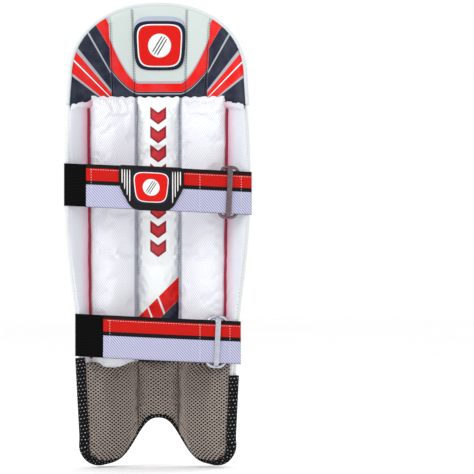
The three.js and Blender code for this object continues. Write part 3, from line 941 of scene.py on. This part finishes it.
# ---- leg side ----
def lining_piece(side, sign):
    """The lining of a side wing, whose gathered top end lies over the flap's lower corner."""

    def inner(z):
        return sign * (bolster_outer(z) - 1)

    def rim_line(z):
        return sign * (panel_width(z) + RIM_OVERHANG)

    def gathered_top(x):
        return knee_seam(x) + 2.5 + 0.8 * np.sin(x / 2.1) + 0.6 * np.sin(x / 0.83)

    seams = (rim_line, inner) if sign < 0 else (inner, rim_line)
    grid = Grid(*seams, lobe_rim, gathered_top, 24, 190)
    rim = np.maximum(panel_width(grid.z) + RIM_OVERHANG - np.abs(grid.x), 0)
    foot = np.abs(grid.x) - bolster_outer(grid.z)
    wave = ripple(grid.points(0.0), 26, 31 + sign)
    body = round_end(rim, 7)
    swell = bulge(np.clip(foot / 26, 0, 1), 2.2)
    swell = swell * round_end(grid.from_high, 14) * round_end(grid.from_low, 18)
    over = smooth((grid.z - knee_seam(grid.x) + 9) / 7) * body
    wrinkle = 0.35 * np.sin(grid.z * 1.1 + 1.5 * np.sin(grid.x * 0.3)) * swell
    back = -1.6 - 1.6 * body - 2.2 * swell - 0.7 * wave * body - wrinkle - 6.4 * over
    front = -1.2 - 6.6 * over
    prints = (foot * MM, grid.points(0.0)[..., 2])
    piece = closed_patch(f"lining_{side}", grid.points(back), grid.points(front), airtex_lining, prints)
    show(piece, "lining_fabric", [f"wing_lining_{side}"])
    return piece


back_pieces = [lining_piece("left", -1), lining_piece("right", 1)]


def filled_shape(grid, back, base):
    """The outer skin of a stuffed piece after the cloth simulation, as a grid of points."""
    coarse = closed_patch("filling", grid.points(back), grid.points(base), airtex_white)
    count = grid.u.size
    rim = (grid.u < 1e-6) | (grid.u > 1 - 1e-6) | (grid.v < 1e-6) | (grid.v > 1 - 1e-6)
    inflate(coarse, np.concatenate([rim.ravel(), np.ones(count, bool)]))
    skin = np.array([v.co for v in coarse.data.vertices])[:count].reshape(*grid.u.shape, 3)
    bpy.data.objects.remove(coarse)
    return skin


def finished_bolster(name, node, skin, base, look, slot, relief):
    """Closes a refined skin onto its base, with relief (in mm) raised along its normals."""
    skin = skin + grid_normals(skin, (0, -1, 0)) * relief[..., None] * MM
    piece = closed_patch(name, skin, base, look)
    return show(piece, slot, [node])


def hem_top(x):
    """The overlocked top edge of the bolsters, pulled into scallops by its stitches."""
    return KNEE_LINE + 1.6 - 2.2 * np.abs(np.sin(math.pi * x / 14.0)) ** 3


def shin_bolster(side, left, right, outer, index):
    middle = side == "centre"

    def foot(x):
        return SHIN_BOTTOM - 4 - 9 * smooth((-34 - x) / 42) * smooth((x + 98) / 13)

    grid = Grid(left, right, foot, hem_top, 16, 76, ease=0.35)
    body_top = np.maximum(grid.from_high - 5.5, 0)
    ends = round_end(grid.from_low, 17) * fade(body_top, 20, 0.12)
    valley = -11 if not outer else np.where((grid.u < 0.5) == (outer < 0), -4.5, -11)
    crown = -23 if middle else -26.5
    hem = smooth((7.5 - grid.from_high) / 3.5)
    back = mix(mix(valley, crown, bulge(grid.u, 2.8) * ends), -9.9, hem)
    base = mix(-3.0, -8.3, smooth((10 - grid.from_high) / 5))
    skin = refine(filled_shape(grid, back, base), 4)
    u, v = refine(grid.u, 4), refine(grid.v, 4)
    creases = ripple(skin, 60, index + 40) * 0.35 + ripple(skin, 17, index + 45) * 0.9
    full = np.minimum(np.minimum(u, 1 - u) * 14, np.minimum(v * 9, (1 - v) * 40)).clip(0, 1)
    x = skin[..., 0] / MM
    edge = np.minimum(u, 1 - u) * 66
    gather = 0.5 * np.sin(skin[..., 2] / MM * 1.35 + index) * np.exp(-edge / 3.5)
    fold = refine(grid.from_high, 4)
    whip = 0.45 * np.sin(2 * math.pi * x / 2.4) * smooth((5.5 - fold) / 2)
    look, slot = (column_leather, "printed_lining") if middle else (airtex_white, "airtex_fabric")
    return finished_bolster(
        f"bolster_pad_{side}", f"bolster_{side}", skin, refine(grid.points(base), 4), look, slot,
        creases * full + gather * full + whip,
    )


def mesh_bolster(side, left, right, outer, index):
    """An instep bolster, whose open mesh stands in relief round its holes."""
    grid = Grid(left, right, mesh_rim, SHIN_BOTTOM - 4, 16, 36, ease=0.35)
    ends = round_end(grid.from_low, 20) * fade(grid.from_high, 16, 0.35)
    valley = -8 if not outer else np.where((grid.u < 0.5) == (outer < 0), -5.0, -8)
    back = mix(valley, -18.5, bulge(grid.u, 2.8) * ends)
    skin = refine(filled_shape(grid, back, -4.0), 7)
    base = refine(grid.points(-4.0), 7)
    middle = skin.shape[1] // 2
    arc = arc_length(skin[:, middle]) / MM
    width = np.abs(base[-1, :, 0] - base[0, :, 0])
    across = (arc[:, None] - arc[-1] / 2) * width / width[middle] / MESH_PITCH[0]
    up = base[..., 2] / MM / MESH_PITCH[1]
    folds = [np.abs((t + 0.5) % 1 - 0.5) for t in (across + up, across - up)]
    thread = 1 - smooth((np.minimum(*folds) - 0.14) / 0.12)
    relief = 0.7 * thread + 0.8 * ripple(skin, 20, index + 50)
    return finished_bolster(
        f"mesh_pad_{side}", f"instep_bolster_{side}", skin, base, mesh_fabric, "open_mesh", relief
    )


def mesh_outer(z):
    return panel_width(z) - 0.5


def mesh_rim(x):
    return inside_lobe(x, 8.0)


BOLSTERS = (
    ("left", lambda z: -bolster_outer(z), -BOLSTER_SEAM, -1),
    ("centre", -BOLSTER_SEAM, BOLSTER_SEAM, 0),
    ("right", BOLSTER_SEAM, bolster_outer, 1),
)
for index, (side, left, right, outer) in enumerate(BOLSTERS):
    back_pieces.append(shin_bolster(side, left, right, outer, index))
    mesh_left = (lambda z: -mesh_outer(z)) if outer < 0 else left
    mesh_right = mesh_outer if outer > 0 else right
    back_pieces.append(mesh_bolster(side, mesh_left, mesh_right, outer, index))

for side, sign in (("left", -1), ("right", 1)):
    heights = np.linspace(SHIN_BOTTOM + 2, 512, 90)
    path = shell(sign * (bolster_outer(heights) + 1.9), heights, -5.6 + 0.4 * np.sin(heights / 9))
    piping = tube(f"piping_cord_{side}", path, (2.0, 2.0), piping_red, sides=10)
    show(piping, "piping_red", [f"piping_{side}"])


# ---- bindings ----
def lower_outline(top):
    """The outline from the arch's middle round one lobe and up its side, as widths and heights."""
    arch = np.linspace(0, LOBE_CENTRE, 60, endpoint=False)
    angle = np.linspace(0, math.pi / 2, 24, endpoint=False)
    inset = 5.5
    lobe_x = LOBE_CENTRE + (LOBE_REACH - inset) * np.sin(angle)
    lobe_z = LOBE_RISE - (LOBE_RISE - inset) * np.cos(angle)
    side_z = np.linspace(LOBE_RISE + 4, top, 60)
    widths = np.concatenate([arch, lobe_x, outline_width(side_z) - inset])
    heights = np.concatenate([inside_lobe(arch, inset), lobe_z, side_z])
    return widths, heights


right_x, right_z = lower_outline(RIGHT_TAPE_TOP)
left_x, left_z = lower_outline(LEFT_TAPE_TOP)
rope_x = np.concatenate([-left_x[::-1], right_x[1:]])
rope_z = np.concatenate([left_z[::-1], right_z[1:]])
kernel = np.hanning(9) / np.hanning(9).sum()
rope = shell(rope_x, rope_z, -0.8)
rope[4:-4] = np.stack([np.convolve(rope[:, k], kernel, "valid") for k in range(3)], -1)
sideways = smooth((np.abs(rope_x) - 70) / 30)
reach = arc_length(rope)
fine = np.linspace(0, reach[-1], 520)
rope = np.stack([np.interp(fine, reach, rope[:, k]) for k in range(3)], -1)
thick = np.interp(fine, reach, sideways)
whipping = tube(
    "lower_edge_tape", rope, (3.9 + 3.3 * thick, 5.0), binding_black, sides=20,
    twist=lambda along, angle: 1 + 0.05 * np.sin(2 * math.pi * along / 0.0026 + 2 * angle),
)
show(whipping, "binding_black", ["lower_binding"])

# ---- knee flap ----
FLAP_SEAMS_FACE = [None, (-56, -53), (-21, -18), (55, 65), (86, 96), None]
FLAP_SEAMS_BACK = [None, (-68, -71), (-35, -39), (40, 42), (69, 77), None]
FLAP_NAMES = ["wing_left", "second_left", "centre", "second_right", "wing_right"]


def flap_line(seams, index):
    if index == 0:
        return lambda z: -panel_width(z) - FLAP_OVERHANG
    if index == 5:
        return lambda z: panel_width(z) + FLAP_OVERHANG
    low, high = seams[index]
    return lambda z: mix(low, high, (z - KNEE_LINE) / (PAD_TOP - KNEE_LINE))


def above_seam(x):
    return knee_seam(x) + 0.4


def flap_top(x):
    return top_edge(x * 0.975) + FLAP_OVERHANG


def flap_rim(grid):
    """How far each point is from the flap's outer edge."""
    inside = panel_width(grid.z) + FLAP_OVERHANG - np.abs(grid.x)
    return np.maximum(np.minimum(inside, grid.from_high), 0)


def flap_panel(index, seams, size, seed):
    """The grid of one flap panel, its distance from the rim, its noise and how full it is."""
    left, right = (flap_line(seams, index + k) for k in (0, 1))
    grid = Grid(left, right, above_seam, flap_top, *size)
    full = bulge(grid.u, 3.2)
    if index in (0, 4):
        full = bulge(np.clip(grid.u if index == 4 else 1 - grid.u, 0, 0.5), 3.0)
    return grid, flap_rim(grid), ripple(grid.points(0.0), 24, seed + index), full


flap_face, flap_back = [], []
FACE_NODES = ["wing_left", "roll_left", "centre", "roll_right", "wing_right"]
BACK_NODES = ["wing_left", "stripe_left", "centre", "stripe_right", "wing_right"]
for index, name in enumerate(FLAP_NAMES):
    wing = index in (0, 4)
    grid, rim, wave, full = flap_panel(index, FLAP_SEAMS_FACE, (60, 110), 60)
    full = full * fade(grid.from_low, 12, 0.4)
    crown = 9.5 if wing else 12.5
    front = mix(5.0, crown, full) + 0.6 * wave * full
    marks = {0: LEFT_FLAP_MARKS, 4: RIGHT_FLAP_MARKS}.get(index, [])
    front = front - moulded(marks)(grid.x, grid.z) * full * smooth((rim - 4) / 10)
    front = mix(1.5, front, round_end(rim, 12))
    look, slot = (wing_leather, "wing_leather") if wing else (face_leather, "face_leather")
    piece = closed_patch(f"flap_puff_{name}", grid.points(-1.2), grid.points(front), look)
    nodes = [f"flap_face_{FACE_NODES[index]}"] + (["flap_foam"] if index == 2 else [])
    flap_face.append(show(piece, slot, nodes, body=None))

    grid, rim, wave, full = flap_panel(index, FLAP_SEAMS_BACK, (30, 60), 70)
    full = full * fade(grid.from_low, 10, 0.5)
    back = mix(-1.6, -mix(4.4, 7.2, full) - 0.5 * wave * full, round_end(rim, 10))
    piece = closed_patch(f"flap_lining_{name}_print", grid.points(back), grid.points(-1.4), print_leather)
    nodes = [f"flap_lining_{BACK_NODES[index]}"]
    flap_back.append(show(piece, "printed_lining", nodes, body=None))

angles = np.linspace(-math.pi / 2, math.pi / 2, 120)
rim_reach = panel_width(SHOULDER) + 4.4
rim_x = rim_reach * signed_power(np.sin(angles), 2 / TOP_POWER)
rim_rise = (1 - np.minimum(np.abs(rim_x) / rim_reach, 1) ** TOP_POWER) ** (1 / TOP_POWER)
rim_z = SHOULDER + (PAD_TOP - FLAP_OVERHANG - SHOULDER) * rim_rise
side_z = np.linspace(517, SHOULDER - 3, 30)
side_x = panel_width(side_z) + 4.4
rim_x = np.concatenate([-side_x, rim_x, side_x[::-1]])
rim_z = np.concatenate([side_z, rim_z, side_z[::-1]])
flap_edge = tube("flap_edge_tape", shell(rim_x, rim_z, 0.0), (2.8, 4.2), binding_white, sides=14)
show(flap_edge, "binding_white", ["flap_binding"], body=None)


# ---- badges: a plain raised plaque with a ball on it ----
def plaque(name, centre, half, squareness, levels, look, on, body, slot, tilt=0.0, turn=0.0, nodes=()):
    """A rounded plate of rings; levels are (share of the way out, height), the first at its middle."""
    count = 72
    angle = circle(count)
    c, s = np.cos(angle), np.sin(angle)
    edge = (np.abs(c) ** squareness + np.abs(s) ** squareness) ** (-1 / squareness)
    reach, low = levels[1]
    inner = [(reach * k / 5, mix(levels[0][1], low, k / 5)) for k in range(1, 5)]
    levels = inner + levels[1:]
    rings = [on(centre[0], centre[1], levels[0][1])]
    for share, height in levels:
        wide = half[0] * share * edge * c * (1 + tilt * edge * s)
        tall = half[1] * share * edge * s
        x = centre[0] + wide * math.cos(turn) - tall * math.sin(turn)
        z = centre[1] + wide * math.sin(turn) + tall * math.cos(turn)
        rings += [on(float(a), float(b), height) for a, b in zip(x, z)]
    faces = [[0, 1 + i, 1 + (i + 1) % count] for i in range(count)]
    for ring in range(len(levels) - 1):
        start = 1 + ring * count
        for i in range(count):
            k = (i + 1) % count
            faces.append([start + i, start + count + i, start + count + k, start + k])
    last = 1 + (len(levels) - 1) * count
    faces.append([last + i for i in range(count)][::-1])
    show(mesh_object(name, rings, faces, look), slot, nodes, body)


def on_shell(side, base):
    return lambda x, z, height: shell(x, z, side * (base + height))


def badge(prefix, centre, half, on, body, nodes, slot, tilt):
    """A navy-edged plaque with a white line, a red field and a plain ball with slanted seam lines."""
    levels = [(0.0, 0.9), (0.9, 0.9), (1.0, 0.8), (1.03, 0.5), (1.035, 0.0), (1.0, -1.4)]
    plaque(f"{prefix}_rim", centre, half, 4.4, levels, badge_navy, on, body, slot, tilt, nodes=nodes)
    for share, look, height, part in ((0.91, badge_white, 1.25, "line"), (0.86, badge_red, 1.6, "field")):
        inner = (half[0] * share, half[1] * share)
        levels = [(0.0, height), (0.94, height), (0.99, height - 0.15), (1.0, height - 1.0)]
        plaque(f"{prefix}_{part}", centre, inner, 4.4, levels, look, on, body, slot, tilt)
    ball = 0.5 * min(half)
    levels = [(0.0, 2.9), (0.5, 2.8), (0.85, 2.5), (0.97, 2.1), (1.0, 1.6), (1.0, 1.0)]
    plaque(f"{prefix}_ball", centre, (ball, ball), 2.0, levels, badge_white, on, body, slot)
    levels = [(0.0, 3.2), (0.8, 3.15), (1.0, 2.9), (1.0, 2.2)]
    for number, shift, long in ((1, -0.24, 0.8), (2, 0.0, 0.86), (3, 0.24, 0.8)):
        step = shift * ball
        at = (centre[0] + step * math.cos(SEAM_SLANT), centre[1] + step * math.sin(SEAM_SLANT))
        size = (0.045 * ball, long * ball)
        seam = f"{prefix}_seam_{number}"
        plaque(seam, at, size, 4.0, levels, badge_navy, on, body, slot, turn=SEAM_SLANT)


levels = [(0.0, 0.5), (0.95, 0.5), (1.0, 0.1), (1.0, -1.4)]
plaque(
    "back_badge_shade", (1.8, 609.5), (37.6, 36.5), 4.0, levels, badge_shade, on_shell(-1, 7.8),
    "knee_flap", "badge_red", 0.06,
)
for prefix, centre, half, side, base, node, tilt in (
    ("back_badge", (1.8, 604), (37, 34.4), -1, 8.2, "flap_lining_badge", 0.05),
    ("face_badge", (21.5, 614.5), (34, 25.5), 1, 13.2, "flap_face_badge", 0.16),
):
    badge(prefix, centre, half, on_shell(side, base), "knee_flap", [node], "badge_red", tilt)


# ---- straps ----
class Strap:
    """A strap's line seen from above, and points on it by width, height above its middle and layer."""

    def __init__(self, height, bow, elastic_end, buckle_x):
        self.height = height
        self.elastic_end = elastic_end
        widest = height + STRAP_HEIGHT / 2
        corner = shell(-panel_width(widest), widest, 1.0) / MM + LEG_POINT
        self.pivot = np.array([corner[0] - 2.5, corner[1] - 4.5])
        self.tip = np.array([3 - self.pivot[0], self.pivot[1] - 1.5])
        self.knot = 0.43 * self.tip[0]
        self.bow = bow
        self.straight = (self.tip[1] - bow) / (self.tip[0] - self.knot)
        lead = self.pivot[0] - self.knot
        self.bend = (self.pivot[1] - bow - self.straight * lead) / lead**2
        self.buckle_x = buckle_x

    def point(self, x, up, offset):
        reach = np.minimum(x - self.knot, 0)
        y = self.bow + self.straight * (x - self.knot) + self.bend * reach**2
        slope = self.straight + 2 * self.bend * reach
        length = np.hypot(slope, 1)
        z = self.height + STRAP_TILT * x + up
        return place(x - offset * slope / length, y + offset / length, z)

    def band(self, name, start, end, low, high, back, front, look, across=8, along=80):
        """A length of strap between two layers (offsets towards the pad), with worn round edges."""
        x, up = np.meshgrid(np.linspace(start, end, along), np.linspace(0, 1, across), indexing="ij")
        rise = mix(low, high, up)
        edge = np.minimum(np.minimum(x - start, end - x), np.minimum(rise - low, high - rise))
        round_off = 0.25 * (front - back) * (1 - round_end(edge, 0.9))
        sag = 0.25 * np.sin(x / 17.0) * np.sin(rise / 14.0 + x / 31.0)
        outer = self.point(x, rise, back + round_off + sag * smooth((x - start) / 20))
        inner = self.point(x, rise, front - round_off + sag * smooth((x - start) / 20))
        return closed_patch(name, outer, inner, look, (x * MM, (rise + STRAP_HEIGHT / 2) * MM))

    def stitch_run(self, x, low, high, offset):
        heights = np.linspace(low, high, 12)
        points = [self.point(float(x), float(h), offset) for h in heights]
        out = self.point(float(x), 0.0, -1.0) - self.point(float(x), 0.0, 0.0)
        return points, [out / np.linalg.norm(out)] * len(points)

    def edge_run(self, start, end, up, offset):
        widths = np.linspace(start, end, 60)
        points = [self.point(float(x), up, offset) for x in widths]
        outs = [self.point(float(x), up, offset - 1) - self.point(float(x), up, offset) for x in widths]
        return points, [o / np.linalg.norm(o) for o in outs]


def add_strap(name, strap, stitch_at):
    """The elastic, webbing and sewn bands of one strap."""
    half = STRAP_HEIGHT / 2
    layer = STRAP_THICKNESS / 2
    root = strap.band(
        f"{name}_root", strap.pivot[0] - 1.0, strap.elastic_end + 0.5, -half + 0.4, half - 0.2,
        -layer - 0.5, layer - 0.6, elastic_black, along=30,
    )
    show(root, "elastic_black", [f"{name}_elastic"], name)
    web = strap.band(
        f"{name}_band", strap.elastic_end - 0.5, strap.tip[0], -half, half, -layer, layer,
        strap_webbing, across=16, along=150,
    )
    show(web, "strap_webbing", [f"{name}_webbing"], name)
    runs = [strap.stitch_run(x, -half + 1, half - 5.5, -layer - 0.25) for x in stitch_at]
    runs.append(strap.edge_run(strap.elastic_end + 6, strap.tip[0] - 2, half - 7.4, -layer - 0.25))
    thread = stitches(f"{name}_thread", runs, white_thread, pitch=3.6, length=2.0, radius=0.3)
    show(thread, "strap_webbing", body=name)


upper = Strap(height=396.5, bow=-97.5, elastic_end=-101, buckle_x=102)
lower = Strap(height=183.5, bow=-86, elastic_end=-77, buckle_x=85)
add_strap("upper_strap", upper, (-93, 60.5, 119))
add_strap("lower_strap", lower, (-67, 60.5, 103))


# ---- buckles: an oval steel ring behind the strap, a flat bar in front ----
RING_HALF = (15.6, 35.6)
RING_DEPTH = 2.9


def buckle_piece(name, strap, node, body, look):
    origin = strap.point(strap.buckle_x, 0.0, 0.0)
    ahead = strap.point(strap.buckle_x + 1, 0.0, 0.0) - origin
    ahead /= np.linalg.norm(ahead)
    inward = strap.point(strap.buckle_x, 0.0, 1.0) - origin
    inward /= np.linalg.norm(inward)
    up = np.cross(ahead, inward)
    base = np.array([ahead, inward, up])

    wide, tall = RING_HALF
    stations = 72
    section = circle(12)
    vertices, faces = [], []
    for a in circle(stations):
        c, q = math.cos(a), math.sin(a)
        centre = np.array([wide * signed_power(c, 0.6), RING_DEPTH, tall * signed_power(q, 0.6)])
        normal = np.array([signed_power(c, 1.4) / wide, 0, signed_power(q, 1.4) / tall])
        normal /= np.linalg.norm(normal)
        for s in section:
            vertices.append(centre + normal * 2.3 * math.cos(s) + np.array([0, 1.45 * math.sin(s), 0]))
    sides = len(section)
    for i in range(stations):
        for j in range(sides):
            k, n = (j + 1) % sides, (i + 1) % stations
            faces.append([i * sides + j, n * sides + j, n * sides + k, i * sides + k])
    start = len(vertices)
    rows = 25
    outline = 20
    for r in range(rows):
        t = r / (rows - 1) * 2 - 1
        z = 36.4 * t
        bridge = smooth((abs(z) - 30.6) / 4.2)
        y = mix(-RING_DEPTH, RING_DEPTH, bridge)
        half = mix(3.9, 3.2, bridge)
        for s in circle(outline):
            c, q = math.cos(s), math.sin(s)
            vertices.append(np.array([half * signed_power(c, 0.45), y + 1.25 * signed_power(q, 0.6), z]))
    faces += tube_faces(rows, outline, start)
    world = origin + (np.asarray(vertices) * MM) @ base
    show(mesh_object(name, world, faces, look), "buckle_steel", [node], body)


# The upper buckle uses the darker copy of the steel, with the strap's reflection painted into its colour.
buckle_piece("upper_slide", upper, "upper_strap_buckle", "upper_buckle", steel_painted_reflection)
buckle_piece("lower_slide", lower, "lower_strap_buckle", "lower_buckle", steel_bright)


# ---- the upper strap's rubber badge ----
def strap_badge():
    half_height = 31.5
    x, up = np.meshgrid(np.linspace(-1, 1, 60), np.linspace(-1, 1, 36), indexing="ij")
    width = mix(30, 46, smooth((up + 1) / 1.3) ** 0.85)
    width = width - 12 * (1 - round_end(up + 1, 0.36)) - 4 * (1 - round_end(1 - up, 0.14))
    wide = -8 + x * width
    rise = up * half_height
    edge = np.minimum(1 - np.abs(x), (1 - np.abs(up)) * 0.7)
    thick = 2.6 * round_end(edge, 0.06)
    front = upper.point(wide, rise, -STRAP_THICKNESS / 2 - 0.35 - thick)
    back = upper.point(wide, rise, -STRAP_THICKNESS / 2 - 0.3)
    piece = closed_patch("strap_badge_rubber", front, back, badge_rubber)
    show(piece, "badge_rubber", ["upper_strap_badge"], "upper_strap")
    surface = -STRAP_THICKNESS / 2 - 2.9

    def on(px, pz, height):
        return upper.point(px, pz, surface - height)

    badge("strap_badge", (-8, 1.5), (26, 23.5), on, "upper_strap", (), "badge_rubber", 0.1)
    for name, side in (("left", -1), ("right", 1)):
        for k in range(4):
            middle = -8 + side * (30 + 3.6 * k)
            low = -20 + 8.5 * k
            levels = [(0.0, 0.5), (0.9, 0.45), (1.0, -0.2)]
            plaque(
                f"strap_badge_rib_{name}_{k + 1}", (middle, (26 + low) / 2), (0.75, (26 - low) / 2), 4.0,
                levels, badge_white, on, "upper_strap", "badge_rubber",
            )


strap_badge()

# ---- label and hook patches ----
def label_line(middle):
    return lambda x: middle - LABEL_RISE * (x + 92)


grid = Grid(-114, -70, label_line(LABEL_FOOT), label_line(LABEL_TOP), 30, 14, gap=0)
prints = (grid.x * MM, (grid.z - label_line((LABEL_FOOT + LABEL_TOP) / 2)(grid.x)) * MM)
front = grid.points(10.2 + 1.3 * round_end(grid.from_rim(44, LABEL_TOP - LABEL_FOOT), 1.5))
piece = closed_patch("label_plate", grid.points(8.8), front, label_leather, prints)
show(piece, "label_leather", ["wing_label"])

for name, height in (("upper", 391), ("lower", 178)):
    left, right = (lambda z: panel_width(z) - 12), (lambda z: panel_width(z) - 1)
    grid = Grid(left, right, height - HOOK_HALF, height + HOOK_HALF, 10, 30, gap=0)
    back = grid.points(-5.3 - 0.9 * round_end(grid.from_rim(14, 2 * HOOK_HALF), 1.2))
    piece = closed_patch(f"{name}_hook_tape", back, grid.points(-3.4), hook_tape)
    show(piece, "hook_tape", [f"{name}_hook_patch"])

# ---- the board stays as the frame has it, with its own look ----
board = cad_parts["backing_board"]
board.data.materials.clear()
board.data.materials.append(board_look())

# ---- stitching on the pad ----
face_tree = surface_tree(*front_pieces)
heights = np.linspace(SHIN_BOTTOM + 6, SHIN_TOP - 6, 120)
runs = []
for index in range(5):
    side = -1.8 if index == 4 else 1.8
    runs.append(seam_run(face_tree, roll_seam(index)(heights) + side, heights, 1))
thread = stitches("face_thread", runs, face_thread, pitch=4.6, length=3.0, radius=0.38)
show(thread, "face_leather")

back_tree = surface_tree(*[p for p in back_pieces if "mesh" not in p.name])
runs = []
for seam in (-BOLSTER_SEAM - 1.6, BOLSTER_SEAM + 1.6):
    runs.append(seam_run(back_tree, np.full(140, seam), np.linspace(SHIN_BOTTOM, 524, 140), -1))
thread = stitches("bolster_thread", runs, dark_thread, pitch=4.2, length=2.6, radius=0.32)
show(thread, "airtex_fabric")

for name, pieces, seams, shifts, side, look in (
    ("flap_thread", flap_back, FLAP_SEAMS_BACK, (-1.5, 1.5), -1, dark_thread),
    ("flap_face_thread", flap_face, FLAP_SEAMS_FACE, (2.2,), 1, face_thread),
):
    flap_tree = surface_tree(*pieces)
    runs = []
    for index in (1, 2, 3, 4):
        heights = np.linspace(KNEE_LINE + 6, 656 if index in (2, 3) else 638, 80)
        line = flap_line(seams, index)(heights)
        runs += [seam_run(flap_tree, line + shift, heights, side) for shift in shifts]
    thread = stitches(name, runs, look, pitch=3.8, length=2.5, radius=0.32)
    show(thread, "printed_lining" if side < 0 else "face_leather", body=None)


# ---- floor, light and camera ----
FLOOR_RADIUS = 9


def studio_floor():
    """A pale round floor just under the lobes."""
    count = 96
    low = cad_bounds[0][2] - 0.002
    angle = circle(count)
    rim = [(FLOOR_RADIUS * math.cos(a), FLOOR_RADIUS * math.sin(a), low) for a in angle]
    paint = Paint("studio_floor", 0.9)
    shade = paint.noise(1.5, 2)
    look = paint.colour(paint.shade(shade, 0xFCFCFC, 0xFFFFFF))
    mesh_object("studio_floor", rim, [list(range(count))], look)


def light(name, where, size, power):
    lamp = bpy.data.lights.new(name, "AREA")
    lamp.shape = "SQUARE"
    lamp.size = size
    lamp.energy = power
    obj = bpy.data.objects.new(name, lamp)
    bpy.context.scene.collection.objects.link(obj)
    obj.location = where
    obj.rotation_euler = (-Vector(where)).to_track_quat("-Z", "Y").to_euler()


studio_floor()
light("key", (-2.0, -1.5, 1.6), 1.0, 22)
light("fill", (1.9, -1.9, 0.6), 2.2, 3)
light("back", (1.6, 1.5, 1.6), 1.0, 15)
world = bpy.data.worlds.new("studio")
bpy.context.scene.world = world
world.use_nodes = True
world.node_tree.nodes["Background"].inputs[0].default_value = (1, 1, 1, 1)
world.node_tree.nodes["Background"].inputs[1].default_value = 1.0

PLANE_WIDTH = 0.676
CAMERA_DISTANCE = 5.0
CAMERA_RIGHT, CAMERA_UP = 0.1132, -0.0047
PLANE_AHEAD = 0.03
camera = bpy.data.cameras.new("camera")
camera.sensor_width = 36
camera.lens = camera.sensor_width * CAMERA_DISTANCE / PLANE_WIDTH
camera_object = bpy.data.objects.new("camera", camera)
bpy.context.scene.collection.objects.link(camera_object)
camera_object.location = (CAMERA_RIGHT, -CAMERA_DISTANCE - PLANE_AHEAD, CAMERA_UP)
camera_object.rotation_euler = (math.pi / 2, 0, 0)
bpy.context.scene.camera = camera_object
bpy.context.scene.view_settings.view_transform = "Standard"
